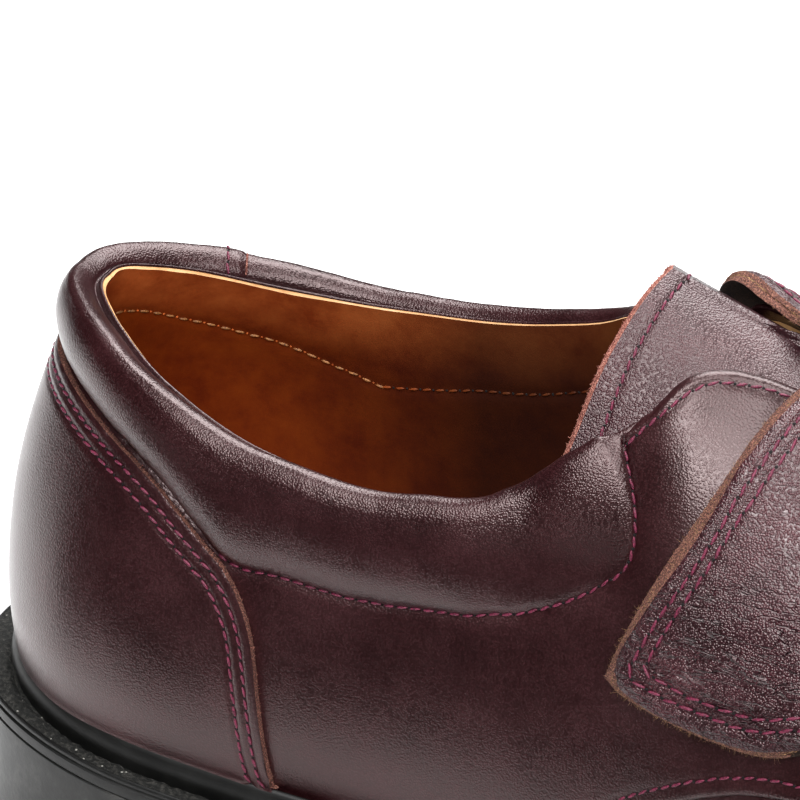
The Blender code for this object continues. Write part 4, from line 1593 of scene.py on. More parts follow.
    def make_lining(self) -> None:
        """The tan lining: a band round the collar sewn over the lower lining."""
        turn = FORM.round_toe(0.0, 320)
        along = FORM.along_of(np.abs(turn))
        high = soft_rows(self.head, 1, along, TIGHT)
        high = to_topline(high - 0.04 * smooth_step((along - 124.0) / 8.0), along)
        high = high + (1.0 - high) * smooth_step((along - self.throat_full) / 8.0)
        shown, rise, grid, normals = FORM.rib_grid(
            turn, self.foot, high, np.linspace(0.0, 1.0, TOP_POINTS))
        rows = (self.dark_row, self.lining_row)
        seam = np.concatenate([
            *(self.row(row, Side.LATERAL)[::-1] for row in rows),
            *(self.row(row, Side.MEDIAL) for row in reversed(rows))])
        sewn = distance_to(grid, seam)
        wave = ripple(grid, 16.0, 21) * smooth_step((rise - 0.45) / 0.3)
        fold = ripple(grid * np.array([1.0, 1.0, 0.25]), 5.0, 30)
        heel = smooth_step(1.0 - shown / 60.0) * smooth_step((rise - 0.82) / 0.1)
        inset = -self.wall + 0.14 * wave + 0.10 * fold * heel - groove(sewn, 0.25, 0.9)
        grid = grid + normals * inset[..., None]
        half = len(turn) // 2
        lining = open_skin("lining", [grid[:half + 1], grid[half:]], inwards=True)
        lining.data.materials.append(self.finishes.lining)
        lining.data.materials.append(self.finishes.lining_edge)
        edge = grid[::2, -1]
        thicken(lining, 0.85, rim_slot=1, thin=(edge, 0.4))
        # each point's distance below the rim, which the lining's material reads to paint shade
        # deeper inside
        lining.data.attributes.new("below_edge", "FLOAT", "POINT").data.foreach_set(
            "value", distance_to(points_of(lining), edge).astype(np.float32))
        dress(lining, "tan_sock_leather", "upper")
        surface = surface_of(lining)
        sewing = Sewing(pitch=2.7, length=1.9, width=0.5, slant=0.08)
        for name, row, thread, hole in (
                ("lining_stitches", self.lining_row, self.finishes.pale_thread, self.finishes.sock),
                ("lining_lower_stitches", self.dark_row, self.finishes.sock, self.finishes.hole)):
            paths = [(self.row(row, side, -self.wall), surface) for side in Side]
            sewing.lay(name, paths, thread, hole, "tan_sock_leather")


@dataclass
class HeelCounter:
    """The heel cup overlay with its raw top and front edge and two rows of stitches."""

    finishes: Finishes
    sewing: Sewing
    gap: float = 0.15
    thickness: float = 1.5
    foot: float = -0.02
    insets: tuple[float, float] = (2.2, 4.5)
    # along, rise of the top and front edge
    edge: Rows = (
        (0.0, 0.785), (12.0, 0.78), (26.0, 0.765), (33.0, 0.75), (40.0, 0.722), (47.0, 0.672),
        (54.5, 0.61), (57.5, 0.56), (59.8, 0.50), (61.6, 0.42), (62.6, 0.29), (63.6, 0.13),
        (64.4, 0.0),
    )

    def make(self) -> None:
        """Build and dress the counter."""
        rear = np.linspace(0.0, float(FORM.turn_of(50.0)), 76)[:-1]
        half = np.concatenate([
            rear, FORM.turn_of(np.linspace(50.0, 60.0, 26))[:-1],
            FORM.turn_of(np.linspace(60.0, 64.4, 44))])
        turn = both_sides(half)
        along = FORM.along_of(np.abs(turn))
        top = np.maximum(soft_rows(self.edge, 1, along, 0.8), 0.006)
        _, rise, grid, normals = FORM.rib_grid(
            turn, self.foot, top, np.linspace(0.0, 1.0, TOP_POINTS) ** 0.9)
        gap = distance_to(grid, grid[:, -1])
        lift = self.gap + self.thickness + 0.07 * ripple(grid, 30.0, 41)
        lift += sum(groove(gap - inset, *ROW) for inset in self.insets)
        lift -= 0.25 * np.clip(1.0 - gap / 0.6, 0.0, 1.0) ** 2
        lift += 0.9 * smooth_step((gap - 6.0) / 22.0) * smooth_step(rise / 0.15) * 0.35
        face = grid + normals * lift[..., None]
        back = grid + normals * self.gap
        piece = Hide("heel_counter_leather", face, back, Rim.RAW, 4, 0.07).build(
            [self.finishes.counter, self.finishes.cut_edge])
        dress(piece, "burgundy_counter_leather", "heel_counter")
        surface = surface_of(piece)
        rows = [(inner_row(face, gap, inset), surface) for inset in self.insets]
        self.sewing.lay("heel_counter_stitches", rows, self.finishes.thread, self.finishes.hole,
                        "burgundy_counter_leather")
        Fuzz(density=4.0, length=0.35, radius=0.035, spread=0.9).grow(
            "heel_counter_fibres", piece, self.finishes.flaky_edge, 11, "burgundy_counter_leather")


@dataclass
class PaddedCollar:
    """The padded roll round the opening, from facing to facing."""

    finishes: Finishes
    sewing: Sewing
    joint: float = 22.5
    joint_row: float = 2.9
    even_from: float = 104.0
    ends: float = 129.6
    tucked_from: float = 126.5
    wall_columns: int = 40
    passes: int = 140
    # along at the edge, along at the seam, seam rise, edge rise, padding, lateral and medial crest
    rows: Rows = (
        (0.0, 0.0, 0.795, 1.0, 4.9, -0.3, -0.3), (6.0, 6.0, 0.795, 1.0, 5.2, -0.2, -0.5),
        (12.0, 12.0, 0.79, 1.0, 5.6, 0.0, -0.5), (26.0, 26.0, 0.775, 1.0, 5.9, 0.3, 0.4),
        (33.0, 33.0, 0.76, 1.0, 5.9, 0.6, 0.9), (40.0, 40.0, 0.732, 1.0, 5.8, 0.8, 1.0),
        (47.0, 47.0, 0.682, 1.0, 5.7, 1.0, 0.8), (54.5, 54.5, 0.622, 1.0, 5.6, 1.2, 0.6),
        (66.0, 66.0, 0.637, 1.0, 5.5, 1.4, 0.7), (77.0, 77.0, 0.645, 1.0, 5.5, 1.5, 1.0),
        (88.0, 88.0, 0.648, 1.0, 5.3, 1.5, 1.0), (99.0, 99.5, 0.632, 1.0, 4.9, 1.1, 1.0),
        (104.5, 106.5, 0.60, 1.0, 4.6, 0.6, 0.7), (108.6, 112.5, 0.546, 0.982, 4.3, 0.2, 0.3),
        (111.6, 116.5, 0.487, 0.942, 4.0, 0.0, 0.0), (114.2, 120.0, 0.447, 0.868, 3.7, 0.0, 0.0),
        (116.4, 123.5, 0.428, 0.804, 3.4, 0.0, 0.0), (118.4, 127.0, 0.423, 0.757, 3.1, 0.0, 0.0),
        (120.0, 129.3, 0.426, 0.729, 2.8, 0.0, 0.0), (121.2, 130.9, 0.437, 0.715, 2.5, 0.0, 0.0),
        (122.3, 131.6, 0.463, 0.70, 2.2, 0.0, 0.0), (123.2, 131.5, 0.49, 0.685, 1.9, 0.0, 0.0),
        (124.0, 130.8, 0.518, 0.674, 1.6, 0.0, 0.0), (124.7, 130.0, 0.545, 0.667, 1.3, 0.0, 0.0),
        (125.4, 129.0, 0.572, 0.661, 1.1, 0.0, 0.0), (126.0, 128.1, 0.60, 0.657, 0.9, 0.0, 0.0),
        (126.5, 127.3, 0.62, 0.655, 0.8, 0.0, 0.0), (127.6, 128.5, 0.621, 0.651, 0.7, 0.0, 0.0),
        (128.6, 129.8, 0.624, 0.649, 0.35, 0.0, 0.0), (129.6, 131.0, 0.628, 0.649, 0.0, 0.0, 0.0),
    )
    # share of the way up, of the padding outwards, of the crest
    section: Rows = (
        (0.0, 0.0, 0.0), (0.03, 0.11, 0.0), (0.08, 0.27, 0.0), (0.16, 0.47, 0.0),
        (0.28, 0.70, 0.0), (0.42, 0.87, 0.0), (0.58, 0.98, 0.0), (0.76, 1.0, 0.1),
        (0.90, 0.93, 0.5), (0.97, 0.78, 0.85), (0.998, 0.54, 1.0), (0.994, 0.33, 0.95),
        (0.978, 0.16, 0.8), (0.955, 0.05, 0.6), (0.928, -0.02, 0.4),
    )

    @classmethod
    def seam_path(cls, side: Side) -> Array:
        """The collar's stitched seam on one side, in millimetres."""
        return FORM.point(*cls.seam(np.linspace(50.0, 126.4, 160)), side)

    @classmethod
    def seam(cls, along: Array) -> tuple[Array, Array]:
        """The seam's place along and its rise, for places along the edge above it."""
        keys = np.array(cls.rows, float)
        return tuple(smooth_curve(keys[:, 0], keys[:, k], along) for k in (1, 2))

    @classmethod
    def covers(cls, along: Array, rise: Array) -> Array:
        """Whether places on the form lie above the collar's seam.

        Args:
            along: places along the shoe.
            rise: their rises.

        Returns:
            True for each that does.
        """
        foot, seam = cls.seam(np.linspace(0.0, cls.tucked_from, 400))
        turn = int(np.argmax(foot))
        above = rise > np.interp(along, foot[:turn], seam[:turn])
        front = np.interp(rise, seam[turn:], foot[turn:])
        return above & (along < np.where(rise < seam[turn], foot[turn], front))

    def make(self) -> None:
        """Build and dress the collar."""
        rear = np.linspace(0.0, float(FORM.turn_of(self.even_from)), 150)[:-1]
        front = FORM.turn_of(np.linspace(self.even_from, self.ends, 104))
        turn = both_sides(np.concatenate([rear, front]))
        along = FORM.along_of(np.abs(turn))
        rear_blend = smooth_step((turn / 0.25 + 1.0) / 2.0)
        blur = 1.5 - 0.9 * smooth_step((along - 112.0) / 8.0)
        foot, seam = self.seam(along)
        edge, padding, left, right = (soft_rows(self.rows, k, along, blur) for k in range(3, 7))
        edge = to_topline(edge, along)
        crest = left * (1.0 - rear_blend) + right * rear_blend
        keys = np.array(self.section, float)
        steps = np.concatenate([[0.0], np.cumsum(np.hypot(
            np.diff(keys[:, 0]) * 25.0, np.diff(keys[:, 1]) * 5.0 + np.diff(keys[:, 2])))])
        at = np.linspace(0.0, steps[-1], 62)
        up_share, out_share, crest_share = (smooth_curve(steps, keys[:, k], at) for k in range(3))
        wall = np.linspace(0.0, 1.0, self.wall_columns)[None, :]
        sign = np.where(turn < 0.0, -1.0, 1.0)
        base_along = np.abs(foot)[:, None] * (1.0 - wall) + along[:, None] * wall
        base_rise = seam[:, None] + (edge - seam)[:, None] * wall
        base = FORM.round_heel(sign[:, None] * FORM.turn_of(base_along), base_rise)
        wall_normals, _ = outward(base)
        column = np.clip(up_share, 0.0, 1.0) * (self.wall_columns - 1.0)
        low = np.floor(column).astype(int).clip(0, self.wall_columns - 2)
        part = (column - low)[None, :, None]
        here, out, climb = (
            known[:, low] * (1.0 - part) + known[:, low + 1] * part
            for known in (base, wall_normals, unit(np.gradient(base, axis=1))))
        out = unit(out)
        reach = np.linalg.norm(here - here[:, :1], axis=2)
        push = padding[:, None] * out_share[None, :] - 0.42 * np.exp(-((reach / 1.0) ** 2))
        face = here + out * push[..., None]
        face = face + climb * (crest[:, None] * crest_share[None, :])[..., None]
        ease = 0.5 * smooth_step((along - 104.5) / 4.0) * smooth_step((122.0 - along) / 4.0)
        for _ in range(self.passes):
            middle = (face[:-2] + face[2:]) / 2.0
            face[1:-1] += ease[1:-1, None, None] * (middle - face[1:-1])
        normals, _ = outward(face)
        relief = self.relief(face, reach, at / steps[-1], along)
        ahead = np.where(turn > 0.0, along - self.joint, -99.0)
        lap = smooth_step((ahead + 7.0) / 7.0) * smooth_step((3.0 - ahead) / 0.8)
        face = face + normals * (relief + 0.4 * lap[:, None])[..., None]
        back = here - out * 0.55
        piece = Hide("padded_collar", face, back, Rim.FOLDED, 1, 0.0).build([self.finishes.collar])
        dress(piece, "burgundy_collar_leather", "collar")
        surface = surface_of(piece)
        rows = [(self.seam_path(side)[8:], surface) for side in Side]
        sewn, cut = (int(np.argmin(np.abs(ahead - place))) for place in (0.0, self.joint_row))
        rows.append((face[sewn, 12:-3], surface))
        line, lifted, ahead_line = face[cut, 12:-2], normals[cut, 12:-2], face[cut + 1, 12:-2]
        raw = np.stack([line + lifted * high for high in (0.22, 0.0)])
        raw[1] += unit(ahead_line - line) * 0.35
        behind = raw - lifted[None] * 0.5
        edge = Hide("collar_joint_edge", raw, behind, Rim.RAW, 1, 0.03)
        dress(edge.build([self.finishes.flaky_edge]), "burgundy_collar_leather")
        self.sewing.lay("collar_stitches", rows, self.finishes.thread, self.finishes.hole,
                        "burgundy_collar_leather")

    def relief(self, points: Array, reach: Array, share: Array, along: Array) -> Array:
        """The roll's unevenness: slight bulges, puckers at the seam and wrinkles on its crest.

        Args:
            points: the roll's points, in millimetres.
            reach: each one's distance from the seam.
            share: each column's share of the way round the roll's section.
            along: each row's place along the shoe.

        Returns:
            How far each point is moved outwards.
        """
        total = 0.14 * ripple(points, 30.0, 50)
        total = total + 0.07 * ripple(points, 4.5, 53) * np.exp(-((reach / 3.5) ** 2))
        crest = np.exp(-(((share - 0.80) / 0.14) ** 2))[None, :]
        total = total + 0.03 * ripple(points * np.array([1.0, 1.0, 0.5]), 3.0, 51) * crest
        front = smooth_step((along[:, None] - 92.0) / 25.0)
        return total + 0.08 * ripple(points, 7.0, 52) * crest * front


@dataclass
class Tongue:
    """The tongue: a leaf of leather with a raw top edge and one row of stitches.

    It is ruled straight from its arched top edge to the rib where it goes under the strap, so it
    stays almost flat, and follows the form from there.
    """

    finishes: Finishes
    sewing: Sewing
    top: tuple[float, float] = (105.0, 128.0)
    joined: float = 158.0
    front: float = 194.0
    low: float = 0.55
    under: float = -2.7
    edge_lift: float = -0.6
    edge_shift: float = 2.5
    thickness: float = 1.6
    bevel: float = 1.0
    row_inset: float = 3.3

    def rib(self, along: float, share: Array, side: Side) -> Array:
        """A rib of the form, lowered to where the tongue lies.

        Args:
            along: its place along the shoe.
            share: shares of the way from under the facing to the ridge.
            side: which half.

        Returns:
            The rib's points.
        """
        rise = self.low + (1.0 - self.low) * share
        grid = np.stack([FORM.point(along + k + 0.0 * rise, rise, side) for k in (-0.5, 0.0, 0.5)])
        sunk = self.under * (1.0 - 0.55 * smooth_step((share - 0.5) / 0.5))
        return grid[1] + outward(grid)[0][1] * sunk[:, None]

    def leaf(self, side: Side, share: Array, run: Array) -> Array:
        """The face on one side.

        Args:
            side: which half.
            share: shares of the way up to the ridge.
            run: distances from the top edge along the leaf, as shares of the way to `joined`,
                then past 1 to `front`.

        Returns:
            The points, by run and share.
        """
        line = FORM.sharp_point(np.linspace(*self.top, 240), 1.0, side)
        gone = np.concatenate([[0.0], np.cumsum(np.linalg.norm(np.diff(line, axis=0), axis=1))])
        edge = np.stack([np.interp(share * gone[-1], gone, line[:, k]) for k in range(3)], axis=-1)
        edge[:, 0] += self.edge_shift * (1.0 - share) ** 2
        edge[:, 2] += self.edge_lift
        joined = self.rib(self.joined, share, side)
        past = self.front - self.joined
        return np.array([
            edge + (joined - edge) * place if place <= 1.0
            else self.rib(self.joined + (place - 1.0) * past, share, side) for place in run])

    def make(self) -> None:
        """Build and dress the tongue."""
        share = np.linspace(0.0, 1.0, TOP_POINTS)
        run = np.concatenate([np.linspace(0.0, 1.0, 64)[:-1] ** 1.4, np.linspace(1.0, 2.0, 24)])
        ends = self.leaf(Side.LATERAL, share, np.array([0.0, 1.0]))[:, 60]
        reach = float(np.linalg.norm(ends[1] - ends[0]))
        inset = self.bevel / reach * (1.0 - np.clip(run, 0.0, 1.0)) ** 6
        faces, backs, paths = [], [], []
        for side in Side:
            face, back = self.leaf(side, share, run + inset), self.leaf(side, share, run)
            normals, _ = outward(face)
            sewn = np.array([self.row_inset / reach + self.bevel / reach])
            path = self.leaf(side, share, sewn)[0]
            lift = 0.10 * ripple(face, 24.0, 61) + groove(distance_to(face, path), 0.28, 0.5)
            faces.append(face + normals * lift[..., None])
            backs.append(back - outward(back)[0] * self.thickness)
            paths.append(path)
        for layer in (faces, backs):
            middle = (layer[0][:, -1] + layer[1][:, -1]) / 2.0
            for half in layer:
                half[:, -1] = middle
        pieces = []
        for number in range(2):
            bare = np.zeros(faces[number].shape[:2], bool)
            bare[:, -1] = True
            pieces.append(Hide(
                f"tongue_{number}", faces[number], backs[number], Rim.RAW, 3, 0.10,
                seed=40 + number, bare=bare).build(
                    [self.finishes.tongue, self.finishes.flaky_edge]))
        tongue = merged("tongue_leather", pieces)
        dress(tongue, "burgundy_tongue_leather", "tongue")
        surface = surface_of(tongue)
        rows = [(np.concatenate([paths[0], paths[1][::-1]]), surface)]
        self.sewing.lay("tongue_stitches", rows, self.finishes.thread, self.finishes.hole,
                        "burgundy_tongue_leather")
        Fuzz(density=4.5, length=0.5, radius=0.08, spread=1.1).grow(
            "tongue_flakes", tongue, self.finishes.flaky_edge, 17, "burgundy_tongue_leather")


@dataclass
class Strap:
    """The wide two-layer strap, from its root on the medial side to its lateral tip."""

    finishes: Finishes
    sewing: Sewing
    thickness: float = 2.9
    near_rear: float = 0.22
    insets: tuple[float, float] = (2.3, 4.4)
    # past the ridge: the tip, the end of its corners, the start of the root's corners, the root
    marks: tuple[float, float, float, float] = (-0.708, -0.655, 0.54, 0.585)
    # rise past the ridge, rear edge, front edge, lift at rear, near rear, at front
    rows: Rows = (
        (-0.708, 127.7, 166.4, 1.0, 1.0, 0.9), (-0.69, 129.0, 169.4, 1.1, 1.0, 0.9),
        (-0.66, 131.4, 172.4, 1.2, 1.1, 0.9), (-0.58, 137.2, 176.6, 1.4, 1.3, 1.0),
        (-0.48, 143.1, 180.0, 1.8, 1.7, 1.2), (-0.38, 147.9, 182.5, 2.4, 2.2, 1.6),
        (-0.28, 152.0, 184.5, 3.2, 3.0, 2.0), (-0.18, 156.1, 186.0, 4.2, 3.8, 2.2),
        (-0.10, 158.0, 187.0, 3.6, 3.4, 2.2), (-0.05, 156.0, 187.2, 2.5, 2.5, 2.1),
        (0.0, 151.9, 187.5, 1.2, 1.5, 2.0), (0.06, 147.3, 188.0, -0.2, 0.7, 1.8),
        (0.12, 142.3, 188.5, -1.1, 0.4, 1.4), (0.18, 136.2, 189.0, -0.7, 0.6, 1.1),
        (0.24, 131.2, 189.5, 0.0, 0.8, 0.8), (0.30, 130.2, 190.0, 1.4, 1.2, 0.6),
        (0.38, 133.0, 190.0, 0.9, 0.8, 0.5), (0.46, 136.2, 190.0, 0.6, 0.6, 0.5),
        (0.54, 139.6, 189.0, 0.5, 0.5, 0.5), (0.57, 142.0, 187.0, 0.5, 0.5, 0.5),
        (0.585, 147.0, 183.0, 0.5, 0.5, 0.5),
    )

    def make(self) -> None:
        """Build and dress the strap."""
        keys = np.array(self.rows, float)
        tip, tip_corner, root_corner, root = self.marks
        past = np.concatenate([
            np.linspace(tip, tip_corner, 14)[:-1], np.linspace(tip_corner, root_corner, 170)[:-1],
            np.linspace(root_corner, root, 10)])
        values = [smooth_curve(keys[:, 0], keys[:, k], past) for k in range(1, 6)]
        share = np.linspace(0.0, 1.0, 92)
        along = values[0][:, None] + (values[1] - values[0])[:, None] * share[None, :]
        places = (0.0, self.near_rear, 1.0)
        lifts = np.array([np.interp(share, places, (a, b, c)) for a, b, c in zip(*values[2:])])
        bowed = past[:, None] + self.tip_bow(past, share)
        corner = np.exp(-((share[None, :] / 0.05) ** 2) - ((past[:, None] - past[0]) / 0.02) ** 2)
        base = FORM.over_ridge(along + 0.5 * corner, bowed + 0.003 * corner)
        base_normals, _ = outward(base)
        inwards = 1.0 - 2.0 * share[None, :]
        from_tip = np.clip(1.0 - (past - past[0]) / 0.10, 0.0, 1.0)[:, None]
        from_root = np.clip(1.0 - (past[-1] - past) / 0.10, 0.0, 1.0)[:, None]
        bevel = 1.5 + 0.8 * smooth_step((-0.38 - past) / 0.15)[:, None]
        grid = FORM.over_ridge(
            along + np.minimum(bevel, 1.5 + 0.8 * inwards) * inwards + 1.3 * corner,
            bowed + 0.018 * (0.55 * from_tip - from_root) * (1.0 - 0.6 * inwards**6)
            + 0.007 * corner)
        normals, _ = outward(grid)
        ring, _ = border(*grid.shape[:2])
        rim = grid[ring[:, 0], ring[:, 1]]
        gap = distance_to(grid, np.concatenate([rim, rim[:1]]))
        under = base + base_normals * lifts[..., None]
        relief = 0.10 * ripple(grid, 26.0, 71) + self.creases(grid, past)
        relief = relief * smooth_step(gap / 1.5)
        sewn = gap - smooth_step((-0.61 - past) / 0.06)[:, None] * smooth_step(share / 0.22)[None, :]
        for inset in self.insets:
            relief += groove(sewn - inset, *ROW)
        relief -= 0.55 * np.clip(1.0 - gap / 1.6, 0.0, 1.0) ** 2
        face = grid + normals * (lifts + self.thickness + relief)[..., None]
        # the last material, on the underside, is darkened as painted shade under the strap
        piece = Hide("strap_leather", face, under, Rim.RAW, 7, 0.15, layers=2).build(
            [self.finishes.strap, self.finishes.cut_edge, self.finishes.fibre, self.finishes.flesh_side_in_painted_shade])
        dress(piece, "burgundy_strap_leather", "strap")
        surface = surface_of(piece)
        rows = [(self.inside_row(face, sewn >= inset), surface) for inset in self.insets]
        sewing = Sewing(pitch=3.1, length=2.75, width=0.56)
        sewing.lay("strap_stitches", rows, self.finishes.thread, self.finishes.hole,
                   "burgundy_strap_leather")
        Fuzz(density=2.6, length=0.85, radius=0.034, spread=1.1).grow(
            "strap_fibres", piece, self.finishes.fibre, 23, "burgundy_strap_leather")

    def tip_bow(self, past: Array, share: Array) -> Array:
        """How far the tip's end bows out between its corners.

        Args:
            past: each row's distance from the ridge, in shares of a rib.
            share: each column's share of the strap's width.

        Returns:
            The bow of each point, in shares of a rib.
        """
        tip = smooth_step((-0.60 - past) / 0.108)[:, None]
        curve = 0.047 * (1.0 - np.abs(1.0 - 2.0 * np.clip(share, 0.0, 1.0)) ** 3) - 0.008 * share
        return -tip * curve[None, :]

    def inside_row(self, face: Array, inside: Array) -> Array:
        """The closed outline of a region of the strap's face.

        Args:
            face: the strap's face.
            inside: which of its points are in the region.

        Returns:
            The outline's path.
        """
        kept = np.flatnonzero(inside.any(axis=1))
        first = inside.argmax(axis=1)
        last = face.shape[1] - 1 - inside[:, ::-1].argmax(axis=1)
        top, root = kept[0], kept[-1]
        tip_rows = inside.argmax(axis=0)
        root_rows = face.shape[0] - 1 - inside[::-1].argmax(axis=0)
        ends = []
        for row, found in ((root, root_rows), (top, tip_rows)):
            columns = np.arange(first[row] + 1, last[row])
            ends.append(face[found[columns], columns])
        path = np.concatenate([
            face[kept, first[kept]], ends[0], face[kept, last[kept]][::-1], ends[1][::-1]])
        path = np.roll(path, -len(path) // 2, axis=0)
        path = respaced(np.concatenate([path, path[:1]]), 0.5)
        for _ in range(3):
            path[1:-1] = (path[:-2] + 2.0 * path[1:-1] + path[2:]) / 4.0
        return path

    def creases(self, points: Array, past: Array) -> Array:
        """Fine cross creases near the tip, where the strap has been bent.

        Args:
            points: the strap's points, in millimetres.
            past: each row's distance from the ridge, in shares of a rib.

        Returns:
            How far each point is moved outwards.
        """
        tip = smooth_step((-0.40 - past) / 0.15)[:, None]
        fine = np.abs(ripple(points * np.array([0.35, 0.35, 1.0]), 4.2, 73))
        return -0.20 * np.exp(-((fine / 0.35) ** 2)) * tip


@dataclass
class UnitSole:
    """The moulded sole with its heel, the storm welt over it and the insole inside."""

    finishes: Finishes
    stations: int = 260
    reach: float = 5.6
    shelf: float = 5.8
    sole_top: float = 9.7
    insole_top: float = 2.6
    rim: float = 9.0
    tread_depth: float = 2.4
    tread_slope: float = 0.5
    breast: tuple[float, float] = (65.2, 66.8)
    # outwards, down, whether the run after it is buffed
    welt: Rows = (
        (0.35, 5.6, 0.0), (0.45, 2.2, 0.0), (0.62, 0.9, 0.0), (0.95, 0.4, 0.0), (1.30, 0.4, 0.0),
        (1.65, 0.85, 0.0), (1.95, 1.7, 0.0), (2.1, 2.8, 0.0), (2.05, 4.0, 0.0), (1.85, 5.2, 0.0),
        (1.75, 6.2, 1.0), (2.1, 6.35, 1.0), (2.5, 5.7, 1.0), (3.1, 5.55, 1.0), (3.7, 5.65, 1.0),
        (4.2, 5.75, 1.0), (4.7, 5.8, 1.0), (4.95, 5.95, 0.0), (5.05, 5.75, 0.0), (5.3, 5.72, 0.0),
        (5.48, 5.95, 0.0), (5.55, 6.3, 0.0), (5.52, 6.75, 0.0), (5.15, 7.0, 0.0),
        (5.15, 7.25, 0.0), (5.6, 7.55, 0.0), (5.6, 9.2, 0.0), (5.5, 9.45, 0.0), (5.0, 9.55, 0.0),
        (-7.0, 9.55, 0.0), (-7.0, 5.8, 0.0), (-0.3, 5.8, 0.0),
    )
    # along, height of the tread or arch
    underside: Rows = (
        (0.0, 0.0), (65.2, 0.0), (66.8, 12.6), (80.0, 9.6), (100.0, 6.6), (125.0, 3.2),
        (150.0, 0.8), (168.0, 0.0), (222.0, 0.0), (240.0, 1.6), (262.0, 5.4), (278.0, 9.0),
        (288.0, 11.6),
    )
    # first groove, last groove, pitch, width
    tread: Rows = ((14.0, 52.0, 12.0, 4.0), (160.0, 252.0, 11.0, 4.0))

    def make(self) -> None:
        """Build and dress the sole's pieces."""
        self.make_welt()
        self.make_outsole()
        self.make_insole()

    def ring(self, along: Array, reach: float, height: Array | float, follow: bool) -> Array:
        """A closed ring round the shoe, lateral from heel to toe and medial back.

        Args:
            along: stations.
            reach: distance outside the feather line.
            height: depth under the feather line, or the height itself.
            follow: true if height is a depth under the feather line.

        Returns:
            The ring's points.
        """
        halves = []
        for side in (Side.LATERAL, Side.MEDIAL):
            y, out_x, out_y = FORM.feather_line(along, side)
            x = along + out_x * reach
            z = FORM.foot_height(x) - height if follow else height + 0.0 * x
            halves.append(np.stack([x, y + out_y * reach, z], axis=-1))
        return np.concatenate([halves[0], halves[1][-2:0:-1]])

    def bridge(self, rings: int, count: int) -> Array:
        """Quads between numbered rings, facing outwards for rings that run down the wall.

        Args:
            rings: how many rings.
            count: points a ring.

        Returns:
            Four indices a face.
        """
        k, n = np.meshgrid(np.arange(rings - 1), np.arange(count), indexing="ij")
        k, n = k.ravel(), n.ravel()
        m = (n + 1) % count
        upper, lower = k * count, (k + 1) * count
        return np.stack([upper + n, lower + n, lower + m, upper + m], axis=1)

    def fix_normals(self, piece: Object, angle: float) -> None:
        """Point a closed piece's faces outwards and shade it.

        Args:
            piece: the piece.
            angle: past which an edge shows as sharp, in degrees.
        """
        with edited(piece) as maker:
            bmesh.ops.remove_doubles(maker, verts=maker.verts, dist=0.001 * MM)
            bmesh.ops.recalc_face_normals(maker, faces=maker.faces)
        shade(piece, angle)

    def make_welt(self) -> None:
        """The storm welt: a lip against the upper and a buffed edge outside it."""
        along = FORM.along_of(np.linspace(0.0, math.pi, 330))
        rows = (*self.welt, self.welt[0])
        grid = np.array([self.ring(along, out, down, True) for out, down, _ in rows])
        round_trip = np.concatenate([along, along[-2:0:-1]])
        out, _, torn = np.array(rows).T[..., None]
        follow = np.clip((5.0 - out) / 3.3, 0.0, 1.0)
        grid[..., 0] += follow * FORM.tuck(round_trip)[None, :]
        grid[..., 2] += 0.05 * ripple(grid, 11.0, 81) + 0.24 * torn * ripple(grid, 1.7, 82)
        grid[-1] = grid[0]
        count = grid.shape[1]
        quads = self.bridge(len(rows), count)
        buffed = np.repeat([int(row[2]) for row in self.welt], count)
        piece = link_mesh("storm_welt", grid.reshape(-1, 3), quads, buffed)
        piece.data.materials.append(self.finishes.welt)
        piece.data.materials.append(self.finishes.buffed)
        self.fix_normals(piece, 55.0)
        dress(piece, "black_welt_rubber", "welt")

    def tread_marks(self) -> tuple[Array, Array]:
        """Where the sole's points stand along it, so that every groove has straight sides.

        Returns:
            The places along the shoe and how deep the tread is cut at each.
        """
        marks = set(self.breast)
        cuts = []
        for first, last, pitch, width in self.tread:
            start = first
            while start <= last:
                cuts.append((start, width))
                marks.update((start, start + self.tread_slope,
                              start + width, start + width + self.tread_slope))
                start += pitch
        even = FORM.along_of(np.linspace(0.0, math.pi, self.stations))
        free = [float(a) for a in even if all(abs(a - m) > 0.8 for m in marks)]
        along = np.array(sorted(marks | set(free)))
        depth = np.zeros_like(along)
        for start, width in cuts:
            inside = (along > start + 0.5 * self.tread_slope) & (along < start + width + 0.1)
            depth[inside] = self.tread_depth
        return along, depth

    def make_outsole(self) -> None:
        """The moulded unit: wall, heel, arch, toe spring and lugs."""
        along, depth = self.tread_marks()
        under = straight(self.underside, 1, along)
        wall = [
            (self.reach - 12.9, self.shelf, True), (self.reach - 12.9, self.sole_top, True),
            (self.reach - 0.9, self.sole_top, True), (self.reach - 0.2, self.sole_top, True),
            (self.reach, self.sole_top + 0.2, True), (self.reach + 0.05, self.sole_top + 1.0, True),
        ]
        rings = [self.ring(along, out, height, follow) for out, height, follow in wall]
        foot = [(-0.2, 1.4), (-0.35, 0.7), (-0.6, 0.25), (-1.1, 0.0)]
        rings += [self.ring(along, self.reach + out, under + up, False) for out, up in foot]
        top, bottom = rings[5], rings[6]
        between = [top + (bottom - top) * share for share in np.linspace(0.0, 1.0, 8)[1:-1]]
        rings = rings[:6] + between + rings[6:]
        rings.append(self.ring(along, self.reach - self.rim, under, False))
        rings.append(self.ring(along, self.reach - self.rim - 0.4, under + depth, False))
        grid = np.array(rings)
        count = grid.shape[1]
        piece = link_mesh("unit_sole", grid.reshape(-1, 3), self.bridge(len(rings), count))
        self.close(piece, grid, len(along))
        piece.data.materials.append(self.finishes.rubber)
        dress(piece, "black_moulded_rubber", "outsole")

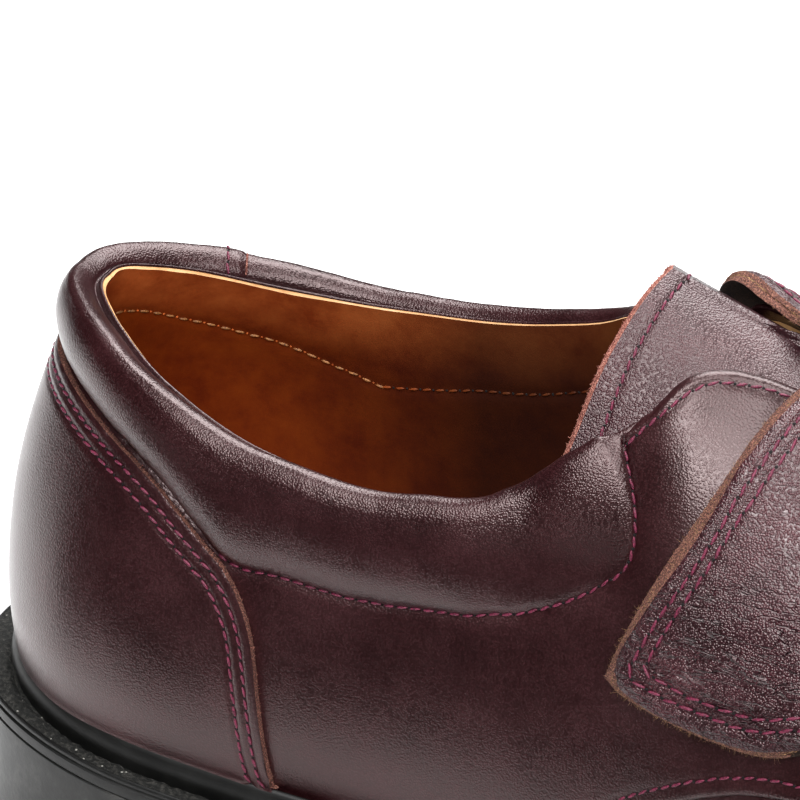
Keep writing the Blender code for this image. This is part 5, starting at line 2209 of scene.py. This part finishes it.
    def close(self, piece: Object, grid: Array, stations: int) -> None:
        """Close the first and last ring with strips across the shoe.

        Args:
            piece: the piece made of the rings.
            grid: its points, a row for each ring.
            stations: how many places along the shoe a ring has points at.
        """
        count = grid.shape[1]
        last = stations - 1
        with edited(piece) as maker:
            maker.verts.ensure_lookup_table()
            for first in (0, (grid.shape[0] - 1) * count):
                ring = [maker.verts[first + k] for k in range(count)]
                maker.faces.new([ring[0], ring[1], ring[-1]])
                for k in range(1, last - 1):
                    maker.faces.new([ring[k], ring[k + 1], ring[count - k - 1], ring[count - k]])
                maker.faces.new([ring[last - 1], ring[last], ring[last + 1]])
        self.fix_normals(piece, 38.0)

    def make_insole(self) -> None:
        """The insole under its leather sock."""
        along = FORM.along_of(np.linspace(0.0, math.pi, 120))
        rows = ((-2.6, 5.5), (-2.4, 3.4), (-2.7, 2.8), (-3.6, self.insole_top),
                (-9.0, self.insole_top + 0.5))
        grid = np.array([self.ring(along, out, down, True) for out, down in rows])
        piece = link_mesh("insole_sock", grid.reshape(-1, 3), self.bridge(*grid.shape[:2]))
        self.close(piece, grid, len(along))
        piece.data.materials.append(self.finishes.sock)
        dress(piece, "tan_sock_leather", "insole")


# --- the stage ---


@dataclass
class Stage:
    """Floor, lights and camera."""

    azimuth: float = 24.0
    elevation: float = 26.0
    distance: float = 1.1
    focal: float = 284.1
    target: tuple[float, float, float] = (-0.074, 0.0008, 0.078)
    shift: tuple[float, float] = (0.019, 0.0418)
    floor: float = 6.0
    aim: tuple[float, float, float] = (-0.05, 0.0, 0.06)

    def make(self) -> None:
        """Set the stage."""
        self.make_floor()
        self.make_flags()
        self.make_lights()
        self.make_world()
        self.make_camera()
        bpy.context.scene.view_settings.view_transform = "Standard"

    def back(self) -> Vector:
        """Direction from the target to the camera."""
        turn, climb = math.radians(self.azimuth), math.radians(self.elevation)
        level = math.cos(climb)
        return Vector((math.sin(turn) * level, -math.cos(turn) * level, math.sin(climb)))

    def make_floor(self) -> None:
        """A large pale matt floor."""
        half = self.floor
        mesh = bpy.data.meshes.new("floor")
        mesh.from_pydata(
            [(-half, -half, 0.0), (half, -half, 0.0), (half, half, 0.0), (-half, half, 0.0)], [],
            [(0, 1, 2, 3)])
        made, tree, shader, _ = new_material("matt_white_paper")
        feed(tree, shader, {"Base Color": linear("#f7f7f7"), "Roughness": 0.9})
        mesh.materials.append(made)
        floor = link("floor", mesh)

    def make_flags(self) -> None:
        """Two low black flags in front, seen only in the gloss, where they hide the far floor."""
        near = ((-0.23, -0.06), (-0.17, -0.095), (-0.06, -0.088), (0.0, -0.066), (0.26, -0.08))
        far = ((-0.95, -0.18), (-0.62, -0.42), (0.10, -0.50), (0.70, -0.40))
        made, tree, shader, _ = new_material("black_velvet")
        feed(tree, shader, {"Base Color": linear("#060606"), "Roughness": 1.0})
        for name, ends, height in (("near_flag", near, 0.07), ("far_flag", far, 0.17)):
            mesh = bpy.data.meshes.new(name)
            mesh.from_pydata(
                [(x, y, z) for x, y in ends for z in (0.0, height)], [],
                [(k, k + 2, k + 3, k + 1) for k in range(0, 2 * len(ends) - 2, 2)])
            mesh.materials.append(made)
            flag = link(name, mesh)
            flag.visible_camera = flag.visible_shadow = flag.visible_diffuse = False

    def make_lights(self) -> None:
        """Soft boxes: a low and a high key in front, one at the toe's side, one overhead behind."""
        for name, place, wide, high, power in (
                ("low_key_softbox", (0.05, -0.86, 0.76), 0.50, 0.22, 7.5),
                ("high_key_softbox", (0.03, -0.52, 1.02), 0.75, 0.50, 9.0),
                ("toe_softbox", (0.62, -0.46, 0.74), 0.40, 0.36, 4.5),
                ("overhead_softbox", (-0.05, 0.52, 1.03), 0.95, 0.80, 25.0)):
            lamp = bpy.data.lights.new(name, "AREA")
            lamp.shape = "RECTANGLE"
            lamp.size, lamp.size_y = wide, high
            lamp.energy = power
            holder = link(name, lamp)
            holder.location = place
            aimed = Vector(self.aim) - Vector(place)
            holder.rotation_euler = aimed.to_track_quat("-Z", "Y").to_euler()

    def make_world(self) -> None:
        """A pale room that is darker on the side the shoe is seen from."""
        world = bpy.data.worlds.new("pale_room")
        world.use_nodes = True
        tree = world.node_tree
        ground = tree.nodes["Background"]
        way = add_node(tree, "ShaderNodeTexCoord").outputs["Generated"]
        turn = math.radians(self.azimuth)
        facing = add_node(tree, "ShaderNodeVectorMath", {
            0: way, 1: (math.sin(turn), -math.cos(turn), 0.0)}, operation="DOT_PRODUCT")
        behind = add_node(tree, "ShaderNodeMapRange", {
            "Value": facing.outputs["Value"], "From Min": -0.55, "From Max": -0.85,
            "To Min": 0.06, "To Max": 0.9}).outputs["Result"]
        height = add_node(tree, "ShaderNodeSeparateXYZ", {0: way}).outputs["Z"]
        above = add_node(tree, "ShaderNodeMapRange", {
            "Value": height, "From Min": 0.45, "From Max": 0.80,
            "To Min": 0.06, "To Max": 0.8}).outputs["Result"]
        light = add_node(tree, "ShaderNodeMath", {0: behind, 1: above}, operation="MAXIMUM")
        feed(tree, ground, {"Strength": light.outputs[0]})
        bpy.context.scene.world = world

    def make_camera(self) -> None:
        """The camera, at the angle and distance that show the lateral side and into the shoe."""
        lens = bpy.data.cameras.new("camera")
        lens.lens = self.focal
        lens.sensor_width = 36.0
        lens.shift_x, lens.shift_y = self.shift
        lens.clip_start = 0.01
        camera = link("camera", lens)
        back = self.back()
        camera.location = Vector(self.target) + back * self.distance
        camera.rotation_euler = back.to_track_quat("Z", "Y").to_euler()
        bpy.context.scene.camera = camera


def main() -> None:
    """Build the shoe piece by piece."""
    logging.basicConfig(level=logging.INFO, format="%(name)s %(message)s")
    finishes = Finishes()
    sewing = Sewing()
    UnitSole(finishes).make()
    Upper(finishes, sewing).make()
    HeelCounter(finishes, sewing).make()
    PaddedCollar(finishes, sewing).make()
    Tongue(finishes, sewing).make()
    Strap(finishes, sewing).make()
    Stage().make()
    LOG.info("done")


if __name__ == "__main__":
    main()
